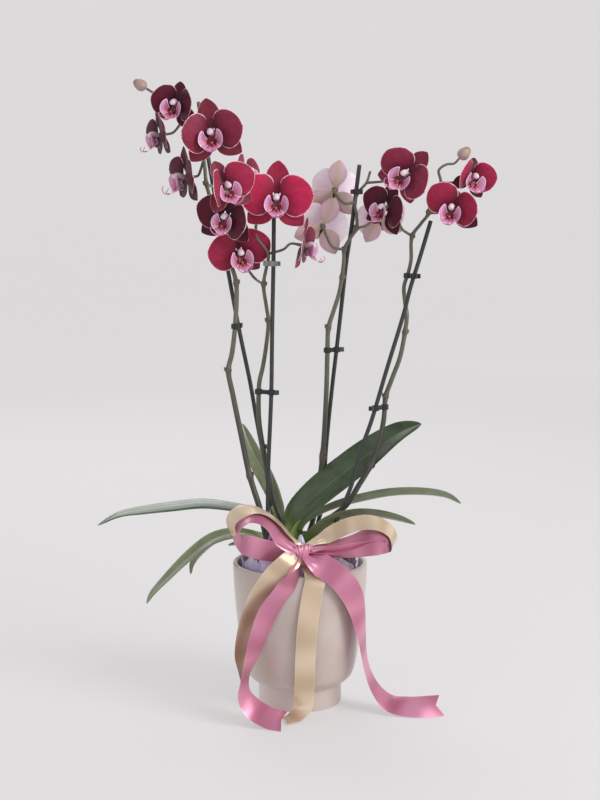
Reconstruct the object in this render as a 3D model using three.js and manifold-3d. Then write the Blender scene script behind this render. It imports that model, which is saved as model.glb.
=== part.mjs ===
// Potted moth orchid: two plants with four flower spikes in a ceramic pot, tied with a ribbon bow.
// Millimetres, +Z up. The pot's foot is centred on the origin and the bow hangs towards -Y.
import * as THREE from 'three';
import { mergeVertices } from 'three/addons/utils/BufferGeometryUtils.js';
import Module from 'manifold-3d';

const wasm = await Module();
wasm.setup();

const CLEARANCE = 0.3;

// Driving sizes of the vessels
const POT = {
  rimRadius: 71.6, height: 153.8, wall: 5, lip: 2.4,
  footRadius: 44.5, footHeight: 24, floor: 6, ledge: 30, ledgeInner: 40.5, sides: 28,
};
const LINER = {
  base: POT.ledge + CLEARANCE, height: 112, baseRadius: 46, topRadius: 57.5,
  wall: 1.4, lip: 2.4, lipHeight: 5, sides: 20,
};
const MEDIUM = { top: 136, relief: 5, rings: 3, sides: 20, seed: 11 };
const WRAP = {
  sides: 36, low: 130, thickness: 1.2, radius: 62.3, crumple: 0.6, crest: 156, ruffle: 7,
  frontRise: 7, frontLean: -5, seed: 5,
};

// Driving sizes of a flower, in its own frame: x right, y up, z out of its face
const FLOWER = {
  thickness: 0.9, heartRadius: 5, heartFront: 1.4, heartBack: -5, pedicelGap: 0.3, columnFoot: 1.7,
  petal: {
    length: 37, half: 20.5, foot: 2.5, turn: 10, lift: 17, curl: -5, crown: -2.4, front: -0.6,
    broad: 1.1, blunt: 0.6, rows: 4, columns: 3,
  },
  dorsal: {
    length: 37, half: 11, foot: 2.5, turn: 90, lift: -2, curl: 3, crown: 1.2, front: -2,
    broad: 1, blunt: 0.72, rows: 3, columns: 2,
  },
  lateral: {
    length: 36, half: 12.2, foot: 2.2, turn: -42, lift: -3, curl: 2, crown: 1.2, front: -2,
    broad: 0.95, blunt: 0.72, rows: 3, columns: 2,
  },
};

// Each flower: place of its heart, turn to the right, nod down, roll clockwise, and size
const BLOOMS = {
  bloom_01: { at: [-126, -4, 633], turn: -32, nod: 4, roll: 14, size: 0.92 },
  bloom_02: { at: [-147, 31, 603], turn: -98, nod: 10, roll: 0, size: 0.84 },
  bloom_03: { at: [-89, -30, 602], turn: -4, nod: 4, roll: -9, size: 1 },
  bloom_04: { at: [-119, 8, 559], turn: -66, nod: 6, roll: 6, size: 0.92 },
  bloom_05: { at: [-72, -60, 548], turn: 34, nod: 4, roll: -16, size: 0.94 },
  bloom_06: { at: [-78, -21, 517], turn: -26, nod: 6, roll: 14, size: 0.92 },
  bloom_07: { at: [-60, 4, 480], turn: 24, nod: 8, roll: -10, size: 0.98 },
  bloom_08: { at: [-55, 24, 566], turn: 70, nod: 0, roll: 10, size: 0.74 },
  bloom_09: { at: [-24, -22, 537], turn: 0, nod: 4, roll: 2, size: 1 },
  bloom_10: { at: [4, -15, 489], turn: 76, nod: 8, roll: -6, size: 0.84 },
  bloom_11: { at: [37, 30, 546], turn: 176, nod: -8, roll: -10, size: 0.96 },
  bloom_12: { at: [24, 20, 508], turn: 182, nod: -5, roll: -22, size: 0.94 },
  bloom_13: { at: [87, -10, 524], turn: -42, nod: 0, roll: 20, size: 0.86 },
  bloom_14: { at: [102.5, -47, 557], turn: -16, nod: 2, roll: 32, size: 0.96 },
  bloom_15: { at: [158, -22, 523], turn: -12, nod: 2, roll: 10, size: 0.92 },
  bloom_16: { at: [182, 8, 557], turn: 30, nod: 0, roll: 6, size: 0.92 },
  bloom_17: { at: [84, 32, 516], turn: 160, nod: 0, roll: 16, size: 0.82 },
};

// Each flower spike: route of its main stem, radii at its foot and tip, joints, and what grows from it
const SPIKES = {
  spike_1: {
    route: [[-32, -8, 168], [-36, -15, 184], [-42, -16, 212], [-53, -10, 247], [-62, -4, 289],
      [-70.6, 0, 331], [-75.3, 0, 358], [-71.5, 2, 376], [-68, 4, 406], [-67, 10, 449],
      [-72, 12, 467], [-82, 10, 499],
      [-91, 5, 530], [-97, 5, 552], [-100, 8, 577], [-108, 13, 597], [-122, 20, 619], [-134, 24, 633],
      [-147, 25, 642.5], [-160, 24, 650.5]],
    radii: [3.4, 1.3], joints: [3, 6, 9, 11, 13, 15],
    flowers: [
      ['bloom_06', 11], ['bloom_05', 13], ['bloom_04', 14],
      ['bloom_03', 15], ['bloom_02', 16], ['bloom_01', 17],
    ],
  },
  spike_2: {
    route: [[-24, -4, 168], [-19, -7, 184], [-19, -7, 198], [-26, -6, 215], [-34, -6, 250], [-39, -6, 276],
      [-43, -5, 304], [-43.6, -4, 327], [-42.6, -4, 346], [-39, -2, 362], [-35.4, 0, 384], [-33, 2, 410],
      [-35, 2, 424], [-38, 1, 448], [-34.5, 0, 468], [-33, -1, 480], [-45, -2, 498], [-45, -1, 515],
      [-42, 2, 530]],
    radii: [3.2, 1.4], joints: [5, 11, 13, 16],
    flowers: [
      ['bloom_07', 13, [-50, 19, 456]], ['bloom_10', 15, [-18, 4, 484]],
      ['bloom_09', 18], ['bloom_08', 17, [-56, 33, 538]],
    ],
  },
  spike_3: {
    route: [[3, 2, 168], [9, 8, 180], [14, 12, 195], [17, 13, 212], [24, 14, 264], [28, 14, 335],
      [29, 13, 378], [30, 12, 402], [34.5, 12, 417], [41, 11, 438], [44, 10, 455],
      [46, 10, 473], [46.5, 10, 484],
      [52, 10, 495], [59, 10, 506], [59, 10, 521], [57, 9, 533], [62, 8, 545], [69, 8, 553],
      [73, 8, 565]],
    radii: [3.1, 1.3], joints: [4, 7, 10, 12, 14],
    flowers: [
      ['bloom_12', 12, [34, 4, 487]], ['bloom_17', 14], ['bloom_11', 16, [46, 4, 532]], ['bloom_14', 18],
    ],
  },
  spike_4: {
    route: [[3, -8, 172], [10, -12, 186], [17, -14, 193], [32, -15, 203], [49, -15, 217], [62, -14, 238],
      [74, -12, 258], [82, -9, 279], [88, -7, 307], [90, -5, 331], [96, -3, 348], [105, 0, 372],
      [110, 2, 398], [112, 4, 416], [110, 6, 430], [109, 6, 446], [113, 6, 459], [116, 6, 473],
      [117, 6, 498], [126, 6, 511], [134, 6, 522], [135, 6, 539], [146, 6, 553],
      [144, 6, 566], [152, 7, 572], [160, 8, 573], [165, 8.2, 578]],
    radii: [3.3, 1.2], joints: [6, 9, 12, 18, 20],
    flowers: [['bloom_13', 18, [106, 6, 506]], ['bloom_15', 20], ['bloom_16', 22]],
  },
};

// Each stake: route from its foot in the medium to its top
const STAKE_RADIUS = 2.2;
const STAKES = {
  stake_1: [[-24, 24, 60], [-27, 22, 150], [-30, 20, 203], [-36, 18, 246], [-46, 15, 302], [-53, 13, 344],
    [-63, 14, 393], [-75, 20, 456], [-106, 26, 637]],
  stake_2: [[-35, -23, 60], [-35, -23, 150], [-34, -20, 201], [-33.5, -15, 250], [-30, -11, 336],
    [-29, -8, 401], [-27.5, -6, 474], [-27, -5, 520]],
  stake_3: [[14, 26, 60], [16, 25, 150], [19, 23, 188], [24, 22, 207], [28, 22, 271], [34, 20, 335],
    [40, 18, 389], [44, 17, 426], [49, 15, 473], [54, 14, 507], [62, 13, 572]],
  stake_4: [[20, -26, 60], [26, -26, 150], [35, -26, 192], [43, -25, 213], [54, -23, 240], [64, -20, 277],
    [75, -17, 308], [90, -13, 359], [108, -7, 418], [115, -4, 445], [125, -1, 477], [136, 3, 514]],
};

// Each clip holds one spike to one stake, at a height on both
const CLIP = { length: 5.5, wall: 1.6, tab: 4, slot: 0.3 };
const CLIPS = {
  clip_1: { spike: 'spike_1', stake: 'stake_1', height: 404 },
  clip_2: { spike: 'spike_2', stake: 'stake_2', height: 336 },
  clip_3: { spike: 'spike_2', stake: 'stake_2', height: 470 },
  clip_4: { spike: 'spike_3', stake: 'stake_3', height: 378 },
  clip_5: { spike: 'spike_3', stake: 'stake_3', height: 544 },
  clip_6: { spike: 'spike_4', stake: 'stake_4', height: 457 },
  clip_7: { spike: 'spike_4', stake: 'stake_4', height: 320 },
};

// Closed buds, each standing on the tip of its spike
const BUDS = {
  bud_1: { spike: 'spike_1', length: 15, radius: 6 },
  bud_2: { spike: 'spike_4', length: 15, radius: 6.3 },
};

// The two leaf rosettes: stem, then each leaf's route, greatest half width, fold and roll in degrees
const PLANTS = {
  plant_left: {
    stem: [[-29, -2, 112], [-29, -2, 140], [-28, -2, 176]], radius: 8.5,
    leaves: [
      {
        route: [[-27, -1, 176], [-30, 4, 196], [-50, 8, 206], [-76, 12, 211], [-104, 15, 213.5],
          [-136, 16, 210], [-166, 15, 206], [-195, 12, 201], [-217, 8, 190]],
        half: 12, fold: -18, roll: 14,
      },
      {
        route: [[-27, -2, 164], [-36, -5, 177], [-53, -9, 184], [-72, -12, 185], [-93, -15, 179],
          [-116, -17, 162], [-140, -18, 139], [-157, -18, 121], [-163, -18, 111]],
        half: 12, fold: 14, roll: -34,
      },
      {
        route: [[-28, 0, 158], [-42, 15, 172], [-65, 24, 177], [-89, 30, 168], [-107, 33, 154],
          [-116, 34, 142], [-119.5, 34, 130]],
        half: 11, fold: 14, roll: -20,
      },
      {
        route: [[-28, 2, 150], [-44, 5, 164], [-60, 6, 170], [-77, 6, 169]],
        half: 7, fold: 20, roll: 0,
      },
      {
        route: [[-27, 0, 170], [-20, 12, 192], [-25, 20, 215], [-35, 30, 236], [-45.5, 38, 254],
          [-55.5, 45, 275], [-63, 50, 294]],
        half: 13, fold: 24, roll: 66,
      },
    ],
  },
  plant_right: {
    stem: [[-3, -3, 112], [-3, -3, 140], [-3, -3, 178]], radius: 8.5,
    leaves: [
      {
        route: [[-4, -3, 172], [-7, -3, 187], [-2, -2, 204], [18, 0, 225], [55, 4, 252], [83, 6, 271],
          [106, 4, 288], [128, 0, 301]],
        half: 21, fold: 16, roll: 50,
      },
      {
        route: [[-3, -3, 166], [4, -2, 192], [18, -1, 203], [36, 0, 211], [64, 1, 218.5], [101, 2, 225],
          [139, 6, 224.5], [158, 8, 221], [172, 8, 214]],
        half: 12, fold: 14, roll: -20,
      },
      {
        route: [[-2, -4, 160], [12, -14, 181], [23, -20, 193], [36, -23, 202], [58, -24, 208],
          [80, -24, 208], [102, -24, 204], [121, -24, 198]],
        half: 12, fold: 12, roll: -16,
      },
    ],
  },
};
const LEAF = { thickness: 1.6, rows: 8, columns: 2 };

// The two ribbons: each run lists its middle and its direction across, towards the nearer or lower edge
const RIBBON = { thickness: 0.8, notch: 0.06 };
const RIBBONS = {
  ribbon_pink: {
    width: 25, knot: { at: [3, -69, 178], size: [8.5, 5, 8] },
    runs: [
      {
        steps: 16, gather: 0.45,
        at: [[0, -68, 181], [-12, -65, 186], [-25, -65, 201], [-36, -66, 211], [-46, -66, 215],
          [-54, -66, 213.5], [-61, -67, 208], [-64.5, -68, 200], [-62, -70, 192], [-53, -71, 187],
          [-39, -71, 182], [-25, -70, 180], [-12, -70, 179], [0, -69, 178]],
        across: [[0.1, -0.9, 0.4], [0.2, -0.8, 0.6], [0.3, -0.8, 0.5], [0.2, -0.9, 0.4],
          [0.1, -0.9, 0.5], [-0.1, -0.9, 0.5], [-0.2, -0.9, 0.4], [-0.3, -0.9, 0.1], [-0.2, -0.8, -0.4],
          [0, -0.5, -0.9], [0, -0.4, -1], [0, -0.5, -0.9], [0, -0.6, -0.7], [0, -0.7, -0.6]],
      },
      {
        steps: 16, gather: 0.45,
        at: [[5, -69, 180], [24, -66, 184], [42, -65, 184], [56, -65, 188], [67, -65, 193],
          [78, -66, 197], [87, -66, 197], [90.5, -67, 193], [93, -67, 185], [89, -68, 177],
          [80, -69, 174], [63, -69, 175], [46, -69, 176], [28, -69, 177], [5, -69, 177]],
        across: [[0, -1, -0.1], [0, -0.9, -0.4], [0, -0.8, -0.6], [0, -0.75, -0.65], [-0.1, -0.75, -0.65],
          [-0.1, -0.75, -0.65], [0, -0.85, -0.5], [0.1, -0.95, -0.3], [0.1, -1, 0], [0.1, -0.9, -0.3],
          [0, -0.8, -0.6], [0, -0.7, -0.7], [0, -0.7, -0.7], [0, -0.8, -0.6], [0, -0.9, -0.4]],
      },
      {
        steps: 15, gather: 0.4, end: 1,
        at: [[2, -70, 177], [-4, -79, 166], [-8, -82, 156], [-15, -80.5, 144], [-31, -75, 123],
          [-44, -74, 99], [-53, -74, 73], [-59, -76, 48], [-55, -80, 30], [-44, -85, 17],
          [-29, -90, 9.5], [-16, -93, 8]],
        across: [[0.5, 0.8, -0.1], [0.6, 0.7, 0], [0.95, 0.1, 0.2], [0.95, 0, 0.3], [1, 0, 0.1],
          [0.95, 0.2, 0.1], [0.75, 0.6, 0.2], [0.5, 0.85, 0.2], [0.6, 0.7, 0.35], [0.6, 0.6, 0.55],
          [0.5, 0.62, 0.6], [0.35, 0.72, 0.6]],
      },
      {
        steps: 19, gather: 0.4, end: 1,
        at: [[5, -70, 177], [13, -77, 172], [24, -78.5, 166], [38, -74, 155], [49, -66, 141],
          [57, -56, 124], [61.5, -50, 106], [65, -44, 84], [67, -40, 66], [70, -38, 48], [76, -38, 31],
          [84, -40, 19], [95, -45, 11], [110, -50, 9], [127, -52, 9], [149, -48, 9.5]],
        across: [[0.5, 0.8, 0.2], [0.7, 0.4, 0.4], [0.93, 0.13, 0.35], [0.88, 0.1, 0.47],
          [0.77, 0.2, 0.64], [0.64, 0.45, 0.6], [0.5, 0.7, 0.5], [0.35, 0.9, 0.2], [0.25, 0.96, 0.1],
          [0.2, 0.97, 0.14], [0.22, 0.95, 0.2], [0.24, 0.93, 0.28], [0.2, 0.88, 0.45],
          [0.25, 0.75, 0.6], [0.25, 0.7, 0.65], [0, 0.77, 0.64]],
      },
    ],
  },
  ribbon_champagne: {
    width: 21, knot: { at: [1, -55, 177], size: [8, 5, 7] },
    runs: [
      {
        steps: 15, gather: 0.45,
        at: [[0, -55, 180], [-12, -57, 193], [-27, -60, 212], [-41, -62, 221], [-56, -62, 223.5],
          [-65, -63, 220], [-71, -64, 211], [-71.5, -64, 201], [-70, -62, 190], [-57, -56, 181],
          [-39, -52, 175], [-20, -52, 175], [0, -54, 177]],
        across: [[0.2, -0.7, 0.7], [0.2, -0.8, 0.5], [0.2, -0.9, 0.4], [0.2, -0.9, 0.4], [0, -0.9, 0.5],
          [-0.1, -0.9, 0.5], [-0.2, -0.9, 0.4], [-0.2, -1, 0.2], [-0.1, -1, 0], [-0.1, -1, -0.2],
          [0, -0.9, -0.3], [0, -1, -0.3], [0, -1, -0.1]],
      },
      {
        steps: 15, gather: 0.45,
        at: [[2, -55, 180], [24, -54, 190], [38, -57, 201], [49, -60, 210], [58, -61, 215],
          [70, -61, 217], [81, -61, 215.5], [91, -62, 209], [97, -61, 198], [98, -58, 186],
          [90, -53, 176], [70, -50, 171.5], [48, -50, 171.5], [25, -51, 173], [2, -54, 176]],
        across: [[0, -0.9, 0.5], [-0.3, -0.8, 0.6], [-0.4, -0.7, 0.6], [-0.2, -0.7, 0.7],
          [-0.1, -0.7, 0.7], [0, -0.7, 0.7], [0.1, -0.8, 0.6], [0.2, -0.8, 0.6], [0.3, -0.9, 0.3],
          [0.2, -1, 0.1], [0.1, -1, 0], [0, -1, -0.1], [0, -1, -0.1], [0, -1, -0.1], [0, -1, -0.2]],
      },
      {
        steps: 13, gather: 0.5, end: 1,
        at: [[0, -56, 175], [-8, -63, 170], [-16, -69, 166], [-25, -72, 157], [-37, -68.5, 141],
          [-48, -64, 121], [-55, -62, 99], [-61, -61, 70], [-63, -61, 53], [-61, -62, 36],
          [-52, -66, 18], [-38, -72, 9]],
        across: [[0.5, -0.5, -0.6], [0.6, -0.3, -0.65], [0.7, -0.15, -0.65], [0.8, 0, -0.5],
          [0.95, 0.1, -0.3], [0.7, 0.6, -0.1], [0.6, 0.75, -0.15], [0.5, 0.85, -0.15], [0.45, 0.9, 0],
          [0.45, 0.85, 0.25], [0.5, 0.7, 0.5], [0.5, 0.6, 0.6]],
      },
      {
        steps: 10, gather: 0.5, end: 1,
        at: [[2, -56, 174], [9, -63, 166], [14, -70.5, 158], [15.5, -73.4, 150], [13, -74, 138],
          [8, -74, 104], [5.5, -71.5, 66], [4.5, -66, 32], [3, -61, 8]],
        across: [[0.8, -0.5, -0.3], [0.9, -0.3, -0.4], [0.95, 0, -0.4], [0.95, 0, -0.3], [1, 0, -0.15],
          [1, 0, 0], [1, 0, 0], [1, 0, 0], [1, 0, 0]],
      },
    ],
  },
};

const COLOURS = {
  pot: 0xa79b90, liner: 0x2b2a2c, medium: 0x5a3d28, wrap: 0xb9a6cf, pink: 0xc86f96, champagne: 0xd2b892,
  stake: 0x26302c, clip: 0x14181a, stem: 0x5d6347, leaf: 0x2f4a26,
  tepal: 0x8e1c37, lip: 0xd98bb4, bud: 0xb79d8a,
};
const FINISH = { roughness: 0.55, metalness: 0 };

const point = (coordinates) => new THREE.Vector3(...coordinates);
const curve = (points) => new THREE.CatmullRomCurve3(points.map(point), false, 'centripetal');
const mix = THREE.MathUtils.lerp;
const radians = THREE.MathUtils.degToRad;

// Repeatable draws between 0 and 1
function draws(seed) {
  let state = seed;
  return () => {
    state = (state * 16807) % 2147483647;
    return state / 2147483647;
  };
}

// Manifold solid of a closed geometry
function solid(geometry) {
  geometry.deleteAttribute('normal');
  geometry.deleteAttribute('uv');
  const merged = mergeVertices(geometry, 1e-4);
  return new wasm.Manifold(new wasm.Mesh({
    numProp: 3,
    vertProperties: new Float32Array(merged.attributes.position.array),
    triVerts: new Uint32Array(merged.index.array),
  }));
}

// Geometry of a manifold solid
function geometryOf(body) {
  const mesh = body.getMesh();
  const geometry = new THREE.BufferGeometry();
  geometry.setAttribute('position', new THREE.BufferAttribute(new Float32Array(mesh.vertProperties), 3));
  geometry.setIndex(new THREE.BufferAttribute(new Uint32Array(mesh.triVerts), 1));
  geometry.computeVertexNormals();
  return geometry;
}

const join = (solids) => solids.reduce((whole, next) => whole.add(next));
const cut = (body, tools) => tools.reduce((rest, tool) => rest.subtract(tool), body);

// Round tapering stalk along a route, with one ring at each of its points and a lead before the first
function stalk(route, radiusAt, sides = 6, lead = 0) {
  const line = curve(route);
  const rings = route.length - 1;
  const normals = [];
  const tangents = [];
  for (let ring = 0; ring <= rings; ring += 1) {
    const tangent = line.getTangent(ring / rings);
    const before = ring === 0 ? new THREE.Vector3(0, -1, 0.01) : normals[ring - 1].clone();
    normals.push(before.addScaledVector(tangent, -before.dot(tangent)).normalize());
    tangents.push(tangent);
  }
  const geometry = new THREE.CylinderGeometry(1, 1, 1, sides, rings);
  const position = geometry.attributes.position;
  for (let i = 0; i < position.count; i += 1) {
    const along = position.getY(i) + 0.5;
    const ring = Math.round(along * rings);
    const side = normals[ring].clone().cross(tangents[ring]);
    const radius = radiusAt(along, ring);
    const place = line.getPoint(ring / rings)
      .addScaledVector(tangents[ring], ring === 0 ? -lead : 0)
      .addScaledVector(normals[ring], position.getX(i) * radius)
      .addScaledVector(side, position.getZ(i) * radius);
    position.setXYZ(i, place.x, place.y, place.z);
  }
  return solid(geometry);
}

// Faces and places of a thin blade about a middle surface, s from 0 to 1 along it, t from -1 to 1 across.
// The front skin comes first and the back skin follows it; the foot edge may be left open.
function bladeSkins(rows, columns, thickness, surface, openFoot = false) {
  const sheet = new THREE.PlaneGeometry(1, 1, columns, rows);
  const count = sheet.attributes.position.count;
  const places = new Array(count * 2);
  const step = 0.01;
  for (let i = 0; i < count; i += 1) {
    const s = 0.5 - sheet.attributes.position.getY(i);
    const t = 2 * sheet.attributes.position.getX(i);
    const along = surface(Math.min(s + step, 1), t).sub(surface(Math.max(s - step, 0), t));
    const across = surface(s, Math.min(t + step, 1)).sub(surface(s, Math.max(t - step, -1)));
    const normal = along.cross(across).normalize();
    const middle = surface(s, t);
    places[i] = middle.clone().addScaledVector(normal, thickness / 2);
    places[count + i] = middle.clone().addScaledVector(normal, -thickness / 2);
  }
  const faces = [];
  const index = sheet.index.array;
  for (let i = 0; i < index.length; i += 3) {
    const [a, b, c] = [index[i], index[i + 1], index[i + 2]];
    faces.push(a, b, c, count + c, count + b, count + a);
  }
  const at = (row, column) => row * (columns + 1) + column;
  const border = [];
  for (let row = 0; row < rows; row += 1) border.push(at(row, 0));
  for (let column = 0; column < columns; column += 1) border.push(at(rows, column));
  for (let row = rows; row >= 0; row -= 1) border.push(at(row, columns));
  if (!openFoot) for (let column = columns - 1; column >= 0; column -= 1) border.push(at(0, column));
  for (let i = 0; i + 1 < border.length; i += 1) {
    const [from, to] = [border[i], border[i + 1]];
    faces.push(to, from, count + from, to, count + from, count + to);
  }
  return { places, faces, count };
}

// Solid of places and triangles
function solidOf(places, faces) {
  const geometry = new THREE.BufferGeometry().setFromPoints(places);
  geometry.setIndex(faces);
  return solid(geometry);
}

function blade(rows, columns, thickness, surface) {
  const { places, faces } = bladeSkins(rows, columns, thickness, surface);
  return solidOf(places, faces);
}

// Half width of a tepal at s, blunt at the tip and drawn in to its foot
function outline(s, half, broad, blunt, foot) {
  const reach = mix(0, 0.985, s);
  return half * Math.sin(Math.PI * reach ** broad) ** blunt + foot * (1 - s);
}

function mesh(name, geometry, colour) {
  const material = new THREE.MeshStandardMaterial({ color: colour, ...FINISH });
  const piece = new THREE.Mesh(geometry, material);
  piece.name = name;
  return piece;
}

// Ceramic pot: a tapering cup on a narrower foot, with a ledge inside where the liner stands
function potSolid() {
  const { rimRadius, height, wall, lip, footRadius, footHeight, floor, ledge, ledgeInner, sides } = POT;
  const profile = [
    [0, 0], [footRadius - 2, 0], [footRadius, 2], [footRadius, footHeight], [50, footHeight + 1.5],
    [56, 32], [59.5, 42], [62.5, 58], [66.8, 86], [70, 119], [rimRadius, height - lip],
    [rimRadius - 1.4, height], [rimRadius - wall + 1.2, height], [rimRadius - wall, height - lip],
    [61.8, 86], [55, 46], [50, ledge], [ledgeInner, ledge], [footRadius - wall, floor], [0, floor],
  ].map(([radius, z]) => new THREE.Vector2(radius, z));
  return solid(uprightLathe(profile, sides));
}

// Lathe about +Z of a profile of radius and height
function uprightLathe(profile, sides) {
  return new THREE.LatheGeometry(profile, sides).rotateX(Math.PI / 2);
}

// Plastic growing pot that the plants came in
function linerSolid() {
  const { base, height, baseRadius, topRadius, wall, lip, lipHeight, sides } = LINER;
  const top = base + height;
  const profile = [
    [0, base], [baseRadius, base], [topRadius, top - lipHeight], [topRadius + lip, top - lipHeight + 0.5],
    [topRadius + lip, top], [topRadius - wall, top], [topRadius - wall, top - lipHeight],
    [baseRadius - wall, base + wall], [0, base + wall],
  ].map(([radius, z]) => new THREE.Vector2(radius, z));
  return solid(uprightLathe(profile, sides));
}

// Bark mix that fills the liner, its top raised into chunks, with plain holes for what stands in it
function mediumSolid(holes) {
  const { top, relief, rings, sides, seed } = MEDIUM;
  const draw = draws(seed);
  const gap = CLEARANCE + 0.2;
  const low = LINER.base + LINER.wall + CLEARANCE;
  const foot = LINER.baseRadius - LINER.wall - gap;
  const rim = LINER.topRadius - LINER.wall - gap - 0.6;
  const radii = Array.from({ length: rings }, (_, i) => (rim * (i + 1)) / rings);
  const profile = [[0, low], [foot, low], ...radii.reverse().map((radius) => [radius, top]), [0, top]]
    .map(([radius, z]) => new THREE.Vector2(radius, z));
  const geometry = uprightLathe(profile, sides);
  geometry.deleteAttribute('normal');
  geometry.deleteAttribute('uv');
  const merged = mergeVertices(geometry, 1e-4);
  const position = merged.attributes.position;
  for (let i = 0; i < position.count; i += 1) {
    if (position.getZ(i) > top - 1) position.setZ(i, top - relief * draw());
  }
  return cut(solid(merged), holes);
}

// Crumpled tissue between the liner and the pot, its ragged crest standing above the rim
function wrapSolid() {
  const { sides, low, thickness, radius, crumple, crest, ruffle, frontRise, frontLean, seed } = WRAP;
  const draw = draws(seed);
  const folds = Array.from({ length: sides }, (_, i) => {
    const front = Math.max(0, -Math.sin((2 * Math.PI * i) / sides)) ** 8;
    return {
      radius: radius + (i % 2 ? crumple : -crumple),
      top: crest + ruffle * draw() + frontRise * front,
      lean: (i % 2 ? 1.6 : -2.2) - 2 * draw() + frontLean * front,
    };
  });
  const levels = 3;
  const places = [];
  folds.forEach((fold, i) => {
    const angle = (2 * Math.PI * i) / sides;
    [thickness / 2, -thickness / 2].forEach((offset) => {
      for (let level = 0; level <= levels; level += 1) {
        const height = level / levels;
        const reach = fold.radius + offset + fold.lean * height ** 3;
        const z = mix(low, fold.top, height);
        places.push(new THREE.Vector3(reach * Math.cos(angle), reach * Math.sin(angle), z));
      }
    });
  });
  const around = 2 * (levels + 1);
  const outer = Array.from({ length: levels + 1 }, (_, level) => level);
  const loop = [...outer, ...outer.map((level) => levels + 1 + level).reverse()];
  const faces = [];
  for (let i = 0; i < sides; i += 1) {
    const next = (i + 1) % sides;
    loop.forEach((from, k) => {
      const to = loop[(k + 1) % loop.length];
      const [a, b, c, d] = [i * around + from, next * around + from, next * around + to, i * around + to];
      faces.push(a, b, c, a, c, d);
    });
  }
  return solidOf(places, faces);
}

// Middle surface of one tepal, lying along its own direction from the heart
function tepalSurface(form, direction) {
  const { length, half, foot, lift, curl, crown, front, broad, blunt } = form;
  const slope = Math.tan(radians(lift));
  return (s, t) => {
    const along = mix(FLOWER.heartRadius, length, s);
    const side = outline(s, half, broad, blunt, foot) * t;
    const x = along * Math.cos(direction) - side * Math.sin(direction);
    const y = along * Math.sin(direction) + side * Math.cos(direction);
    const z = front + along * slope + curl * s ** 2 + crown * (side / half) ** 2;
    return new THREE.Vector3(x, y, z);
  };
}

// The five tepals of a flower in one skin: their feet stand round the heart, closed by a fan on each face
function tepalsSolid(size) {
  const { thickness, heartFront, heartBack, petal, dorsal, lateral } = FLOWER;
  const tepals = [
    [petal, petal.turn], [dorsal, dorsal.turn], [petal, 180 - petal.turn],
    [lateral, 180 - lateral.turn], [lateral, lateral.turn],
  ];
  const places = [new THREE.Vector3(0, 0, heartFront), new THREE.Vector3(0, 0, heartBack)];
  const faces = [];
  const rim = [];
  tepals.forEach(([form, turn]) => {
    const start = places.length;
    const surface = tepalSurface(form, radians(turn));
    const skins = bladeSkins(form.rows, form.columns, thickness / size, surface, true);
    places.push(...skins.places);
    faces.push(...skins.faces.map((corner) => corner + start));
    for (let column = 0; column <= form.columns; column += 1) {
      rim.push({ front: start + column, back: start + skins.count + column, last: column === form.columns });
    }
  });
  rim.forEach((corner, i) => {
    const next = rim[(i + 1) % rim.length];
    faces.push(0, corner.front, next.front, 1, next.back, corner.back);
    if (corner.last) faces.push(next.front, corner.front, corner.back, next.front, corner.back, next.back);
  });
  return solidOf(places, faces).scale(size);
}

// Blade along a route with its direction across given at each point
function bandSurface(at, across, halfAt, foldAt = () => 0) {
  const line = curve(at);
  const sideways = curve(across);
  return (s, t) => {
    const side = sideways.getPoint(s);
    const tangent = line.getTangent(s);
    side.addScaledVector(tangent, -side.dot(tangent)).normalize();
    const normal = tangent.clone().cross(side);
    const half = halfAt(s);
    return line.getPoint(s)
      .addScaledVector(side, half * t)
      .addScaledVector(normal, half * Math.abs(t) * Math.tan(foldAt(s)));
  };
}

// Lip of a flower: a cup whose sides stand up round the column and whose tongue reaches forward
function lipSolid(size) {
  const start = FLOWER.columnFoot + CLEARANCE / size;
  const girth = [3, 3.9, 2.8];
  const column = stalk([[0, 0, start], [0, 0.4, 7.5], [0, 1.4, 12.5]], (s, ring) => girth[ring], 5);
  const keel = curve([[0, -1.5, 5], [0, -10, 8], [0, -16, 14], [0, -17, 21.5]]);
  const surface = (s, t) => {
    const bend = mix(0.5, 2.2, Math.sin(Math.PI * Math.min(1, 0.12 + 0.95 * s)) ** 1.4) * t;
    const reach = mix(4, 11.5, Math.sin(Math.PI * mix(0.1, 0.85, s)));
    const middle = keel.getPoint(s);
    return middle.add(new THREE.Vector3(reach * Math.sin(bend), reach * (1 - Math.cos(bend)), 0));
  };
  return column.add(blade(4, 4, 1 / size, surface)).scale(size);
}

// Frame of a flower: it faces -Y before its turn
function bloomFrame({ at, turn, nod }) {
  const frame = new THREE.Group();
  frame.position.set(...at);
  frame.rotation.set(radians(90 + nod), 0, radians(turn), 'ZXY');
  frame.updateMatrixWorld(true);
  return frame;
}

// Flower stalk from a joint of the spike to the back of a flower, by way of a chosen point if it has one
function pedicel(joint, bloom, via) {
  const frame = bloomFrame(bloom);
  const back = FLOWER.heartBack * bloom.size - FLOWER.pedicelGap;
  const end = frame.localToWorld(new THREE.Vector3(0, 0, back));
  const near = frame.localToWorld(new THREE.Vector3(0, 0, back - 9));
  const start = point(joint);
  const middle = via ? point(via) : start.clone().lerp(near, 0.5).add(new THREE.Vector3(0, 0, -2));
  const route = [start, middle, near, end].map((place) => place.toArray());
  return stalk(route, (s) => mix(1.5, 1.3, s), 4);
}

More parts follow.
